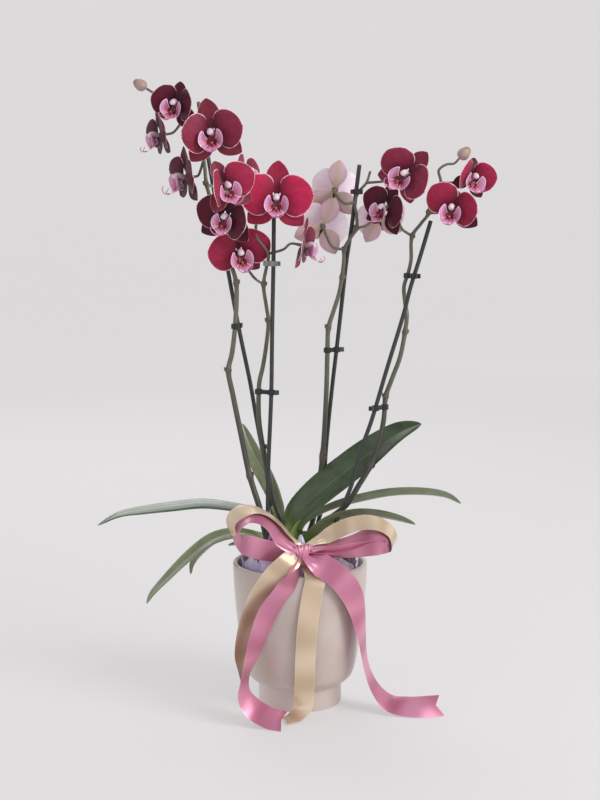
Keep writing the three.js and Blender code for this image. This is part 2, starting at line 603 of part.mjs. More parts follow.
// Main stem of a flower spike, swollen at each joint, with a clearance all round where it cuts a socket
function spikeStem({ route, radii, joints }, clearance = 0) {
  const line = curve(route);
  const last = route.length - 1;
  const ringed = [];
  const girths = [];
  route.forEach((place, i) => {
    const tangent = line.getTangent(i / last);
    const steps = joints.includes(i) ? [-2.4, 0, 2.4] : [0];
    steps.forEach((step) => {
      ringed.push(point(place).addScaledVector(tangent, step).toArray());
      girths.push(mix(radii[0], radii[1], i / last) + (steps.length > 1 && step === 0 ? 0.9 : 0) + clearance);
    });
  });
  return stalk(ringed, (s, ring) => girths[ring], 5, clearance * 2);
}

// Flower spike: its main stem and a stalk to each of its flowers
function spikeSolid(spike) {
  const stalks = spike.flowers.map(([name, joint, via]) => pedicel(spike.route[joint], BLOOMS[name], via));
  return join([spikeStem(spike), ...stalks]);
}

const stakeSolid = (route, clearance = 0) => stalk(route, () => STAKE_RADIUS + clearance, 6, clearance * 2);

// Point of a route at a given height
function atHeight(route, height) {
  const line = curve(route);
  let low = 0;
  let high = 1;
  for (let i = 0; i < 30; i += 1) {
    const middle = (low + high) / 2;
    if (line.getPoint(middle).z < height) low = middle;
    else high = middle;
  }
  return line.getPoint(low);
}

// Clip that snaps round a stake and a stem, with two finger tabs behind the stake
function clipSolid({ spike, stake, height }) {
  const stem = SPIKES[spike];
  const onStem = atHeight(stem.route, height);
  const onStake = atHeight(STAKES[stake], height);
  const across = onStem.clone().sub(onStake).setZ(0);
  const reach = across.length();
  const { length, wall, tab, slot } = CLIP;
  const stemReach = mix(stem.radii[0], stem.radii[1], 0.5) + slot + wall;
  const stakeReach = STAKE_RADIUS + slot + wall;
  const shape = new THREE.Shape();
  shape.moveTo(-stakeReach - tab, -1.4);
  shape.lineTo(-stakeReach, -1.8);
  shape.lineTo(-stakeReach / 2, -stakeReach);
  shape.lineTo(stakeReach / 2, -stakeReach);
  shape.lineTo(reach + stemReach / 2, -stemReach);
  shape.lineTo(reach + stemReach, 0);
  shape.lineTo(reach + stemReach / 2, stemReach);
  shape.lineTo(stakeReach / 2, stakeReach);
  shape.lineTo(-stakeReach / 2, stakeReach);
  shape.lineTo(-stakeReach, 1.8);
  shape.lineTo(-stakeReach - tab, 1.4);
  const slab = new THREE.ExtrudeGeometry(shape, { depth: length, bevelEnabled: false });
  const place = new THREE.Matrix4().makeRotationZ(Math.atan2(across.y, across.x))
    .setPosition(onStake.x, onStake.y, height - length / 2);
  return cut(solid(slab.applyMatrix4(place)), [spikeStem(stem, slot), stakeSolid(STAKES[stake], slot)]);
}

// Closed bud: an egg with three blunt ridges
function budSolid({ length, radius }) {
  const egg = new THREE.SphereGeometry(1, 9, 6);
  const position = egg.attributes.position;
  for (let i = 0; i < position.count; i += 1) {
    const [x, y, z] = [position.getX(i), position.getY(i), position.getZ(i)];
    const angle = Math.atan2(z, x);
    const girth = radius * (1 - 0.18 * y) * (1 + 0.05 * Math.cos(3 * angle));
    position.setXYZ(i, x * girth, (y * length) / 2, z * girth);
  }
  return solid(egg);
}

// Long folded leaf along its route
function leafSolid({ route, half, fold, roll }) {
  const line = curve(route);
  const turned = radians(roll);
  const folded = Math.tan(radians(fold));
  const surface = (s, t) => {
    const tangent = line.getTangent(s);
    const flat = new THREE.Vector3(tangent.x, tangent.y, 0).normalize();
    const side = new THREE.Vector3(-flat.y, flat.x, 0);
    side.addScaledVector(tangent, -side.dot(tangent)).normalize();
    if (side.y < 0) side.negate();
    const up = tangent.clone().cross(side);
    if (up.z < 0) up.negate();
    const across = side.clone().multiplyScalar(Math.cos(turned)).addScaledVector(up, Math.sin(turned));
    const over = up.clone().multiplyScalar(Math.cos(turned)).addScaledVector(side, -Math.sin(turned));
    const width = half * Math.sin(Math.PI * mix(0.12, 0.985, s) ** 1.4) ** 0.62;
    return line.getPoint(s)
      .addScaledVector(across, width * t)
      .addScaledVector(over, width * Math.abs(t) * folded);
  };
  return blade(LEAF.rows, LEAF.columns, LEAF.thickness, surface);
}

// Leafy plant: a short stem and the leaves that clasp it, with sockets where spikes and stakes pass
function plantSolid({ stem, radius, leaves }, tools) {
  const body = join([stalk(stem, () => radius, 8), ...leaves.map(leafSolid)]);
  return cut(body, tools);
}

// Satin ribbon: two loops and two tails that meet in a knot
function ribbonSolid({ width, knot, runs }) {
  const centre = new THREE.SphereGeometry(1, 7, 4).scale(...knot.size).translate(...knot.at);
  const bands = runs.map(({ steps, gather, end, at, across }) => {
    const gathered = (s) => {
      const ends = end ? [s] : [s, 1 - s];
      const nearest = Math.min(...ends);
      return (width / 2) * mix(gather, 1, Math.min(1, nearest / 0.12));
    };
    const flat = bandSurface(at, across, gathered);
    const surface = end ? (s, t) => flat(s * (1 - RIBBON.notch * (1 - Math.abs(t)) * s ** 12), t) : flat;
    return blade(steps, end ? 2 : 1, RIBBON.thickness, surface);
  });
  return join([solid(centre), ...bands]);
}

const orchid = new THREE.Group();

const stakeTools = Object.values(STAKES).map((route) => stakeSolid(route, CLEARANCE));
const spikeTools = Object.values(SPIKES).map((spike) => spikeStem(spike, CLEARANCE));
const stemTools = Object.values(PLANTS)
  .map(({ stem, radius }) => stalk(stem, () => radius + CLEARANCE, 8, CLEARANCE * 2));

orchid.add(mesh('pot', geometryOf(potSolid()), COLOURS.pot));
orchid.add(mesh('nursery_pot', geometryOf(linerSolid()), COLOURS.liner));
orchid.add(mesh('bark_medium', geometryOf(mediumSolid([...stakeTools, ...stemTools])), COLOURS.medium));
orchid.add(mesh('wrap', geometryOf(wrapSolid()), COLOURS.wrap));

Object.entries(PLANTS).forEach(([name, plant]) => {
  orchid.add(mesh(name, geometryOf(plantSolid(plant, [...spikeTools, ...stakeTools])), COLOURS.leaf));
});
Object.entries(STAKES).forEach(([name, route]) => {
  orchid.add(mesh(name, geometryOf(stakeSolid(route)), COLOURS.stake));
});
Object.entries(SPIKES).forEach(([name, spike]) => {
  orchid.add(mesh(name, geometryOf(spikeSolid(spike)), COLOURS.stem));
});
Object.entries(CLIPS).forEach(([name, clip]) => {
  orchid.add(mesh(name, geometryOf(clipSolid(clip)), COLOURS.clip));
});
Object.entries(BUDS).forEach(([name, bud]) => {
  const piece = mesh(name, geometryOf(budSolid(bud)), COLOURS.bud);
  const line = curve(SPIKES[bud.spike].route);
  const direction = line.getTangent(1);
  piece.quaternion.setFromUnitVectors(new THREE.Vector3(0, 1, 0), direction);
  piece.position.copy(line.getPoint(1)).addScaledVector(direction, bud.length / 2 + CLEARANCE);
  orchid.add(piece);
});
Object.entries(RIBBONS).forEach(([name, ribbon]) => {
  const colour = name === 'ribbon_pink' ? COLOURS.pink : COLOURS.champagne;
  orchid.add(mesh(name, geometryOf(ribbonSolid(ribbon)), colour));
});
Object.entries(BLOOMS).forEach(([name, bloom]) => {
  const frame = bloomFrame(bloom);
  const tepals = mesh(name, geometryOf(tepalsSolid(bloom.size)), COLOURS.tepal);
  const lip = mesh(`${name}_lip`, geometryOf(lipSolid(bloom.size)), COLOURS.lip);
  [tepals, lip].forEach((piece) => {
    piece.rotation.z = radians(-bloom.roll);
    frame.add(piece);
  });
  orchid.add(frame);
});

export default orchid;
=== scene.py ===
"""Potted moth orchid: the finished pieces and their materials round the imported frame.

Tables of sizes are in millimetres, +Z up, with the pot's foot centred on the origin and the bow
towards -Y. Each mesh is brought to metres when it is finished.
"""

import logging
import math
import random
from dataclasses import dataclass, field
from enum import Enum
from functools import cache
from typing import Callable, Protocol, Sequence

import bmesh
import bpy
from mathutils import Matrix, Vector, noise


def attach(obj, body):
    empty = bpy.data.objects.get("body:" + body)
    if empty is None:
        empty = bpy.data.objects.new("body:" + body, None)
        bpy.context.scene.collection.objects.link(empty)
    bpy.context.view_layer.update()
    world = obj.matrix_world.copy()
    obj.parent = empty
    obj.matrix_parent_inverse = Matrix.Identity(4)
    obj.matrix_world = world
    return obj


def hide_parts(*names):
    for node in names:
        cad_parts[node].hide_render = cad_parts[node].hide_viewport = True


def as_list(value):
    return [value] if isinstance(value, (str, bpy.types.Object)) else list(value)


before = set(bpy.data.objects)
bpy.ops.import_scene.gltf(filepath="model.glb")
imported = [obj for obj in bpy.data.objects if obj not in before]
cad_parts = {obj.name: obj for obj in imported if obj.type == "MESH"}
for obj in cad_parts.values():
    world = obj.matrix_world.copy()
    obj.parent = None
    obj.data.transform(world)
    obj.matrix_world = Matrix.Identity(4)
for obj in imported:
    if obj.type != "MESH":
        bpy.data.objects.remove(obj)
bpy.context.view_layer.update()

LOG = logging.getLogger("orchid")
MM = 0.001
CLEARANCE = 0.3
INSIDE = 9.0
"""Distance from an edge past which no finish shows it."""
SAME_PLACE = 1e-4
"""Distance below which points become one."""

Point = tuple[float, float, float]
Surface = Callable[[float, float], Vector]
Field = Callable[[float, float], float]
Grid = tuple[list[bmesh.types.BMVert], list[bmesh.types.BMFace]]


class Finish(Protocol):
    """Anything that can build its material."""

    def make(self) -> bpy.types.Material:
        """Build the material."""


def mix(low: float, high: float, share: float) -> float:
    """Value a share of the way from low to high."""
    return low + (high - low) * share


def ease(low: float, high: float, value: float) -> float:
    """Smooth step that is 0 at low and 1 at high."""
    share = min(1.0, max(0.0, (value - low) / (high - low)))
    return share * share * (3 - 2 * share)


def tint(code: int) -> tuple[float, float, float, float]:
    """Linear colour of a red, green and blue code such as 0xAA2846."""
    channels = [(code >> shift & 255) / 255 for shift in (16, 8, 0)]
    linear = [c / 12.92 if c <= 0.04045 else ((c + 0.055) / 1.055) ** 2.4 for c in channels]
    return (*linear, 1.0)


@dataclass(frozen=True)
class Route:
    """Smooth open line through points, with centripetal spacing."""

    points: tuple[Point, ...]

    def place(self, share: float) -> Vector:
        """Point of the line.

        Args:
            share: how far along the line's points, from 0 to 1.

        Returns:
            The point.
        """
        last = len(self.points) - 1
        reach = last * min(1.0, max(0.0, share))
        index = min(int(reach), last - 1)
        weight = reach - index
        near, far = Vector(self.points[index]), Vector(self.points[index + 1])
        before = Vector(self.points[index - 1]) if index > 0 else 2 * near - far
        after = Vector(self.points[index + 2]) if index + 2 <= last else 2 * far - near
        span = (far - near).length_squared ** 0.25 or 1.0
        lead = (near - before).length_squared ** 0.25 or span
        trail = (after - far).length_squared ** 0.25 or span
        leave = (near - before) / lead - (far - before) / (lead + span) + (far - near) / span
        arrive = (far - near) / span - (after - near) / (span + trail) + (after - far) / trail
        leave *= span
        arrive *= span
        square = weight * weight
        cube = square * weight
        return (
            near * (2 * cube - 3 * square + 1) + leave * (cube - 2 * square + weight)
            + far * (3 * square - 2 * cube) + arrive * (cube - square)
        )

    def tangent(self, share: float) -> Vector:
        """Unit direction of the line at a share of it."""
        return (self.place(min(share + 1e-3, 1)) - self.place(max(share - 1e-3, 0))).normalized()

    def length(self) -> float:
        """Length of the line."""
        steps = 12 * len(self.points)
        places = [self.place(i / steps) for i in range(steps + 1)]
        return sum((b - a).length for a, b in zip(places, places[1:]))

    def at_height(self, height: float) -> Vector:
        """Point of a rising line at a height."""
        low, high = 0.0, 1.0
        for _ in range(30):
            middle = (low + high) / 2
            if self.place(middle).z < height:
                low = middle
            else:
                high = middle
        return self.place(low)


def revolve(
    mesh: bmesh.types.BMesh, section: Sequence[tuple[float, float]], steps: int, weld: float = 0.0,
    closed: bool = False,
) -> list[bmesh.types.BMFace]:
    """Turn a section about the upright axis.

    Args:
        mesh: the mesh that it goes in, empty where points are welded.
        section: radius and height of each point.
        steps: faces round it.
        weld: distance below which the mesh's points become one, or 0.
        closed: whether the section's last point joins its first.

    Returns:
        The new faces, smooth and facing outwards.
    """
    known = set(mesh.faces)
    verts = [mesh.verts.new((radius, 0, height)) for radius, height in section]
    following = verts[1:] + verts[:1] if closed else verts[1:]
    edges = [mesh.edges.new(pair) for pair in zip(verts, following)]
    bmesh.ops.spin(
        mesh, geom=verts + edges, cent=(0, 0, 0), axis=(0, 0, 1), angle=math.tau, steps=steps,
        use_merge=True,
    )
    if weld:
        bmesh.ops.remove_doubles(mesh, verts=mesh.verts, dist=weld)
    made = [face for face in mesh.faces if face not in known]
    bmesh.ops.recalc_face_normals(mesh, faces=made)
    for face in made:
        face.smooth = True
    return made


class Maker:
    """Mesh of one piece in the making, in millimetres.

    Its map holds flat sizes in centimetres, rim the distance from an edge in millimetres, and tone a
    free mask that a finish may read.
    """

    def __init__(self, name: str) -> None:
        """Start an empty mesh under the piece's name."""
        self.name = name
        self.mesh = bmesh.new()
        self.flat = self.mesh.loops.layers.uv.new("UVMap")
        self.rim = self.mesh.verts.layers.float.new("rim")
        self.tone = self.mesh.verts.layers.float.new("tone")

    def _grid(self, rows: int, columns: int) -> Grid:
        """Unit grid whose corners still know their row and column.

        Args:
            rows: faces along it.
            columns: faces across it.

        Returns:
            Its vertices and faces.
        """
        made = bmesh.ops.create_grid(self.mesh, x_segments=columns, y_segments=rows, size=0.5, calc_uvs=True)
        faces = dict.fromkeys(face for vert in made["verts"] for face in vert.link_faces)
        return made["verts"], list(faces)

    def blade(
        self, rows: int, columns: int, middle: Surface, thickness: float, finishes: tuple[int, int] = (0, 0),
        flat: Surface | None = None, rim: Field | None = None, tone: Field | None = None, spread: bool = True,
    ) -> None:
        """Closed thin blade about a middle surface, with rounded edges.

        Args:
            rows: faces along it.
            columns: faces across it.
            middle: place for s from 0 to 1 along it and t from -1 to 1 across.
            thickness: greatest thickness.
            finishes: material numbers of the front and the back.
            flat: flat coordinates for s and t, in millimetres.
            rim: distance from the edge for s and t.
            tone: mask value for s and t.
            spread: whether the rows crowd towards both ends.
        """
        shares = [0.5 - 0.5 * math.cos(math.pi * i / rows) if spread else i / rows for i in range(rows + 1)]
        sides = [2 * j / columns - 1 for j in range(columns + 1)]
        lattice = [[middle(s, t) for t in sides] for s in shares]

        def normal(i: int, j: int) -> Vector:
            """Direction out of the front at a lattice point."""
            along = lattice[min(i + 1, rows)][j] - lattice[max(i - 1, 0)][j]
            across = lattice[i][min(j + 1, columns)] - lattice[i][max(j - 1, 0)]
            facing = across.cross(along)
            if facing.length < 1e-7:
                return normal(i - 1, j) if i > rows / 2 else normal(i + 1, j)
            return facing.normalized()

        verts, faces = self._grid(rows, 2 * columns)
        for vert in verts:
            i = round((vert.co.y + 0.5) * rows)
            k = round((vert.co.x + 0.5) * 2 * columns)
            j = k if k <= columns else 2 * columns - k
            s, t = shares[i], sides[j]
            sign = 0 if j in (0, columns) else (1 if k < columns else -1)
            ends = math.sqrt(max(0.0, 1 - (2 * s - 1) ** 12))
            swell = thickness / 2 * math.sqrt(max(0.0, 1 - t ** 6)) * ends
            vert.co = lattice[i][j] + (normal(i, j) * sign * swell if sign else Vector())
            vert[self.rim] = rim(s, t) if rim else INSIDE
            vert[self.tone] = tone(s, t) if tone else 0.0
        for face in faces:
            ks = [round(loop[self.flat].uv.x * 2 * columns) for loop in face.loops]
            face.material_index = finishes[0] if sum(ks) / 4 < columns else finishes[1]
            face.smooth = True
            for loop, k in zip(face.loops, ks):
                i = round(loop[self.flat].uv.y * rows)
                j = k if k <= columns else 2 * columns - k
                spot = flat(shares[i], sides[j]) if flat else Vector((sides[j] * 10, shares[i] * 30, 0))
                loop[self.flat].uv = (spot.x / 10, spot.y / 10)
        bmesh.ops.remove_doubles(self.mesh, verts=verts, dist=SAME_PLACE)

    def tube(
        self, line: Route, rings: Sequence[tuple[float, float]], sides: int = 12, finish: int = 0,
        shape: Field | None = None, tone: Callable[[float], float] | None = None,
    ) -> None:
        """Round solid along a line, closed where its end rings have no radius.

        Args:
            line: its middle line.
            rings: share along the line and radius of each ring.
            sides: faces round it.
            finish: material number.
            shape: factor on the radius for a share and an angle.
            tone: mask value for a share.
        """
        frames: list[tuple[Vector, Vector, Vector]] = []
        normal = Vector((0, -1, 0.01))
        travelled = [0.0]
        for share, _ in rings:
            tangent = line.tangent(share)
            normal = (normal - tangent * normal.dot(tangent)).normalized()
            frames.append((line.place(share), normal, tangent.cross(normal)))
        for before, after in zip(frames, frames[1:]):
            travelled.append(travelled[-1] + (after[0] - before[0]).length)
        last = len(rings) - 1
        girth = max(radius for _, radius in rings) * math.tau
        verts, faces = self._grid(last, sides)
        for vert in verts:
            i = round((vert.co.y + 0.5) * last)
            angle = math.tau * (round((vert.co.x + 0.5) * sides) % sides) / sides
            share, radius = rings[i]
            radius *= shape(share, angle) if shape else 1
            centre, out, side = frames[i]
            vert.co = centre + (out * math.cos(angle) + side * math.sin(angle)) * radius
            vert[self.rim] = INSIDE
            vert[self.tone] = tone(share) if tone else 0.0
        for face in faces:
            face.material_index = finish
            face.smooth = True
            for loop in face.loops:
                u, v = loop[self.flat].uv
                loop[self.flat].uv = (u * girth / 10, travelled[round(v * last)] / 10)
        bmesh.ops.remove_doubles(self.mesh, verts=verts, dist=SAME_PLACE)

    def lathe(self, profile: Sequence[tuple[float, float]], steps: int, finish: int = 0) -> None:
        """Solid turned about the upright axis.

        Args:
            profile: radius and height of each point, from the axis outwards and back to it.
            steps: faces round it.
            finish: material number.
        """
        for face in revolve(self.mesh, profile, steps, weld=1e-3):
            face.material_index = finish
        for vert in self.mesh.verts:
            vert[self.rim] = INSIDE

    def chunk(self, matrix: Matrix, bevel: float, finish: int, tone: float) -> None:
        """Small block with softened edges.

        Args:
            matrix: its place, turn and size in millimetres.
            bevel: width of the softened edges.
            finish: material number.
            tone: mask value all over it.
        """
        made = bmesh.ops.create_cube(self.mesh, size=1, matrix=matrix)
        edges = dict.fromkeys(edge for vert in made["verts"] for edge in vert.link_edges)
        faces = bmesh.ops.bevel(
            self.mesh, geom=list(edges), offset=bevel, affect="EDGES", segments=1, profile=0.5, material=-1,
        )["faces"]
        touched = dict.fromkeys(face for vert in faces for face in vert.verts[0].link_faces)
        verts = dict.fromkeys(vert for face in touched for vert in face.verts)
        for vert in verts:
            vert[self.tone] = tone
            vert[self.rim] = INSIDE
        for face in dict.fromkeys(face for vert in verts for face in vert.link_faces):
            face.material_index = finish

    def done(
        self, finishes: Sequence[Finish], slot: str, nodes: Sequence[str], crease: float = 40,
    ) -> bpy.types.Object:
        """Bring the mesh to metres, dress it and put it in the frame.

        Args:
            finishes: its finishes, by material number.
            slot: the piece's material slot; not used.
            nodes: the solids that it stands for.
            crease: angle in degrees past which an edge shades sharp.

        Returns:
            The finished object.
        """
        bmesh.ops.scale(self.mesh, vec=(MM, MM, MM), verts=self.mesh.verts)
        data = bpy.data.meshes.new(self.name)
        self.mesh.to_mesh(data)
        self.mesh.free()
        for finish in finishes:
            data.materials.append(material(finish))
        data.set_sharp_from_angle(angle=math.radians(crease))
        piece = bpy.data.objects.new(self.name, data)
        bpy.context.scene.collection.objects.link(piece)
        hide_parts(*nodes)
        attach(piece, "root")
        LOG.info("%s: %d faces", self.name, len(data.polygons))
        return piece


Socket = bpy.types.NodeSocket
Value = Socket | float | tuple[float, ...]
Colour = Socket | int | tuple[float, ...]


class Nodes:
    """Node tree in the making, with short ways to add the nodes that finishes share."""

    def __init__(self, tree: bpy.types.NodeTree) -> None:
        """Start with an empty or half-filled tree."""
        self.tree = tree

    def feed(self, node: bpy.types.Node, sockets: dict[str | int, Value]) -> None:
        """Set or link a node's named or numbered inputs."""
        for key, value in sockets.items():
            if isinstance(value, Socket):
                self.tree.links.new(value, node.inputs[key])
            else:
                node.inputs[key].default_value = value

    def add(
        self, kind: str, sockets: dict[str | int, Value] | None = None, **settings: object,
    ) -> bpy.types.Node:
        """Add a node.

        Args:
            kind: the node's type.
            sockets: a value or another node's output for each input that isn't left alone.
            settings: the node's own settings.

        Returns:
            The node.
        """
        node = self.tree.nodes.new(kind)
        for key, value in settings.items():
            setattr(node, key, value)
        self.feed(node, sockets or {})
        return node

    def math(self, operation: str, *values: Value) -> Socket:
        """Result of one operation on up to three values."""
        return self.add("ShaderNodeMath", dict(enumerate(values)), operation=operation).outputs[0]

    def part(self, vector: Socket, axis: int) -> Socket:
        """One axis of a vector."""
        return self.add("ShaderNodeSeparateXYZ", {0: vector}).outputs[axis]

    def noise(self, vector: Socket, scale: Value, detail: Value) -> Socket:
        """Cloudy noise at a vector."""
        sockets = {"Vector": vector, "Scale": scale, "Detail": detail}
        return self.add("ShaderNodeTexNoise", sockets).outputs[0]

    def span(
        self, value: Socket, low: Value, high: Value, start: float = 0.0, end: float = 1.0,
        smooth: bool = True,
    ) -> Socket:
        """Spread a value.

        Args:
            value: the value.
            low: where the result is start.
            high: where the result is end.
            start: result at low and before it.
            end: result at high and past it.
            smooth: whether both ends are eased.

        Returns:
            The result.
        """
        sockets = {"Value": value, "From Min": low, "From Max": high, "To Min": start, "To Max": end}
        kind = "SMOOTHSTEP" if smooth else "LINEAR"
        return self.add("ShaderNodeMapRange", sockets, interpolation_type=kind).outputs[0]

    def bump(self, height: Socket, strength: Value, depth: Value, under: Socket | None = None) -> Socket:
        """Normal of a relief, laid over another normal if there is one."""
        sockets = {"Height": height, "Strength": strength, "Distance": depth}
        if under is not None:
            sockets["Normal"] = under
        return self.add("ShaderNodeBump", sockets).outputs[0]


class Effect(Nodes):
    """Shared shader node group in the making."""

    def __init__(self, name: str, inputs: dict[str, float | None], output: str) -> None:
        """Make the group and its sockets.

        Args:
            name: the group's name.
            inputs: default of each input, or None for a vector.
            output: name of the output, which is a vector if it is Normal.
        """
        super().__init__(bpy.data.node_groups.new(name, "ShaderNodeTree"))
        for key, default in inputs.items():
            kind = "NodeSocketVector" if default is None else "NodeSocketFloat"
            socket = self.tree.interface.new_socket(name=key, in_out="INPUT", socket_type=kind)
            if default is not None:
                socket.default_value = default
        kind = "NodeSocketVector" if output == "Normal" else "NodeSocketFloat"
        self.tree.interface.new_socket(name=output, in_out="OUTPUT", socket_type=kind)
        self.given = self.tree.nodes.new("NodeGroupInput").outputs

    def close(self, result: Socket) -> bpy.types.NodeTree:
        """Send a socket to the group's output and give the group."""
        self.tree.links.new(result, self.tree.nodes.new("NodeGroupOutput").inputs[0])
        return self.tree


def mottle_effect() -> bpy.types.NodeTree:
    """Cloudy patches: a mask from 0 to 1."""
    effect = Effect("cloudy patches", {"Vector": None, "Scale": 100.0, "Detail": 3.0}, "Mask")
    given = effect.given
    cloud = effect.noise(given["Vector"], given["Scale"], given["Detail"])
    return effect.close(effect.span(cloud, 0.33, 0.67))


def bump_effect() -> bpy.types.NodeTree:
    """Fine uneven skin: a normal."""
    inputs = {"Vector": None, "Scale": 900.0, "Strength": 0.2, "Depth": 0.0003}
    effect = Effect("fine skin", inputs, "Normal")
    given = effect.given
    cloud = effect.noise(given["Vector"], given["Scale"], 4.0)
    return effect.close(effect.bump(cloud, given["Strength"], given["Depth"]))


def vein_effect() -> bpy.types.NodeTree:
    """Veins that fan out from the foot of a tepal on its flat map: a mask."""
    effect = Effect("fanned veins", {"Vector": None, "Count": 40.0, "Wander": 1.6}, "Mask")
    given = effect.given
    across, along = effect.part(given["Vector"], 0), effect.part(given["Vector"], 1)
    angle = effect.math("ARCTAN2", across, effect.math("ADD", along, 0.8))
    sway = effect.math("MULTIPLY", effect.noise(given["Vector"], 1.4, 2.0), given["Wander"])
    phase = effect.math("MULTIPLY_ADD", angle, given["Count"], sway)
    return effect.close(effect.span(effect.math("SINE", phase), 0.55, 1.0))


def rim_effect() -> bpy.types.NodeTree:
    """Narrow scalloped edge from the distance to it: a mask."""
    effect = Effect("scalloped edge", {"Vector": None, "Distance": 0.0, "Width": 1.0}, "Mask")
    given = effect.given
    cloud = effect.noise(given["Vector"], 3.2, 2.0)
    uneven = effect.span(cloud, 0.3, 0.7, 0.35, 1.55, smooth=False)
    outer = effect.math("MULTIPLY", uneven, given["Width"])
    inner = effect.math("MULTIPLY", outer, 0.1)
    return effect.close(effect.span(given["Distance"], inner, outer, 1.0, 0.0))


def thread_effect() -> bpy.types.NodeTree:
    """Woven threads on a ribbon's flat map: a normal."""
    effect = Effect("satin threads", {"Vector": None, "Strength": 0.2, "Depth": 0.0001}, "Normal")
    given = effect.given
    waves = []
    for axis, pitch in ((0, 200.0), (1, 95.0)):
        turn = effect.math("MULTIPLY", effect.part(given["Vector"], axis), pitch)
        waves.append(effect.math("SINE", turn))
    both = effect.math("MULTIPLY_ADD", waves[0], 0.5, waves[1])
    return effect.close(effect.bump(both, given["Strength"], given["Depth"]))


EFFECTS = {
    "mottle": mottle_effect(), "bump": bump_effect(), "vein": vein_effect(), "rim": rim_effect(),
    "thread": thread_effect(),
}


class Recipe(Nodes):
    """Material in the making: its node tree and its shader."""

    def __init__(self, name: str) -> None:
        """Start a material with its shader and its coordinates."""
        self.material = bpy.data.materials.new(name)
        self.material.use_nodes = True
        super().__init__(self.material.node_tree)
        self.shader = self.tree.nodes["Principled BSDF"]
        self.object = self.add("ShaderNodeTexCoord").outputs["Object"]
        self.flat = self.add("ShaderNodeUVMap", uv_map="UVMap").outputs[0]

    def effect(self, name: str, sockets: dict[str | int, Value]) -> Socket:
        """Output of a shared effect with this material's own values."""
        return self.add("ShaderNodeGroup", sockets, node_tree=EFFECTS[name]).outputs[0]

    def mottle(self, vector: Socket, scale: float, detail: float) -> Socket:
        """Mask of cloudy patches."""
        return self.effect("mottle", {"Vector": vector, "Scale": scale, "Detail": detail})

    def veins(self, count: float, wander: float) -> Socket:
        """Mask of fanned veins."""
        return self.effect("vein", {"Vector": self.flat, "Count": count, "Wander": wander})

    def skin(self, scale: float, strength: float, depth: float = 0.0003) -> Socket:
        """Normal of a fine uneven skin."""
        sockets = {"Vector": self.object, "Scale": scale, "Strength": strength, "Depth": depth}
        return self.effect("bump", sockets)

    def scallop(self, width: float) -> Socket:
        """Mask of a narrow scalloped edge."""
        sockets = {"Vector": self.flat, "Distance": self.attribute("rim"), "Width": width}
        return self.effect("rim", sockets)

    def midrib(self, outer: float, inner: float) -> Socket:
        """Mask of a rib down the middle of the flat map, by its outer and inner half width."""
        return self.span(self.math("ABSOLUTE", self.part(self.flat, 0)), outer, inner)

    def drawn(self, across: float, along: float) -> Socket:
        """Flat map drawn out, for streaks along a piece."""
        return self.add("ShaderNodeMapping", {"Vector": self.flat, "Scale": (across, along, 1.0)}).outputs[0]

    def attribute(self, name: str) -> Socket:
        """Value of a mesh attribute."""
        settings = {"attribute_type": "GEOMETRY", "attribute_name": name}
        return self.add("ShaderNodeAttribute", **settings).outputs["Fac"]

    def blend(self, mask: Socket, first: Colour, second: Colour, share: float = 1.0) -> Socket:
        """Blend two colours.

        Args:
            mask: 0 for the first colour and 1 for the second.
            first: another node's colour, a colour code or a linear colour.
            second: the same.
            share: how much of the mask counts.

        Returns:
            The colour.
        """
        if share < 1:
            mask = self.math("MULTIPLY", mask, share)
        pair = [tint(colour) if isinstance(colour, int) else colour for colour in (first, second)]
        return self.add("ShaderNodeMix", {0: mask, 6: pair[0], 7: pair[1]}, data_type="RGBA").outputs[2]

    def close(self, colour: Socket, normal: Socket | None = None, **values: Value) -> bpy.types.Material:
        """Set the shader.

        Args:
            colour: base colour.
            normal: bumped normal.
            values: the shader's other inputs, with underscores for spaces.

        Returns:
            The finished material.
        """
        sockets = {"Base Color": colour} | {key.replace("_", " "): value for key, value in values.items()}
        if normal is not None:
            sockets["Normal"] = normal
        self.feed(self.shader, sockets)
        return self.material


@dataclass(frozen=True)
class TepalFinish:
    """Velvety skin of a petal or sepal: darker at the heart, with fanned veins and a pale edge."""

    name: str
    light: int
    deep: int
    vein: int
    edge: int
    width: float
    veins: float = 0.14
    fade: float = 2.4
    midrib: int | None = None
    roughness: float = 0.5
    sheen: float = 0.14

    def make(self) -> bpy.types.Material:
        """Build the material."""
        recipe = Recipe(self.name)
        heart = recipe.span(recipe.part(recipe.flat, 1), 0.1, self.fade)
        colour = recipe.blend(heart, self.deep, self.light)
        colour = recipe.blend(recipe.mottle(recipe.flat, 1.3, 3.0), colour, self.deep, 0.28)
        veins = recipe.veins(46.0, 7.0)
        colour = recipe.blend(veins, colour, self.vein, self.veins)
        if self.midrib is not None:
            colour = recipe.blend(recipe.midrib(0.55, 0.05), colour, self.midrib, 0.5)
        colour = recipe.blend(recipe.scallop(self.width), colour, self.edge)
        return recipe.close(
            colour, recipe.bump(veins, 0.15, 0.0003, recipe.skin(1400.0, 0.25)), Roughness=self.roughness,
            Sheen_Weight=self.sheen, Sheen_Roughness=0.4, Specular_IOR_Level=0.2, Subsurface_Weight=0.12,
            Subsurface_Scale=0.002,
        )


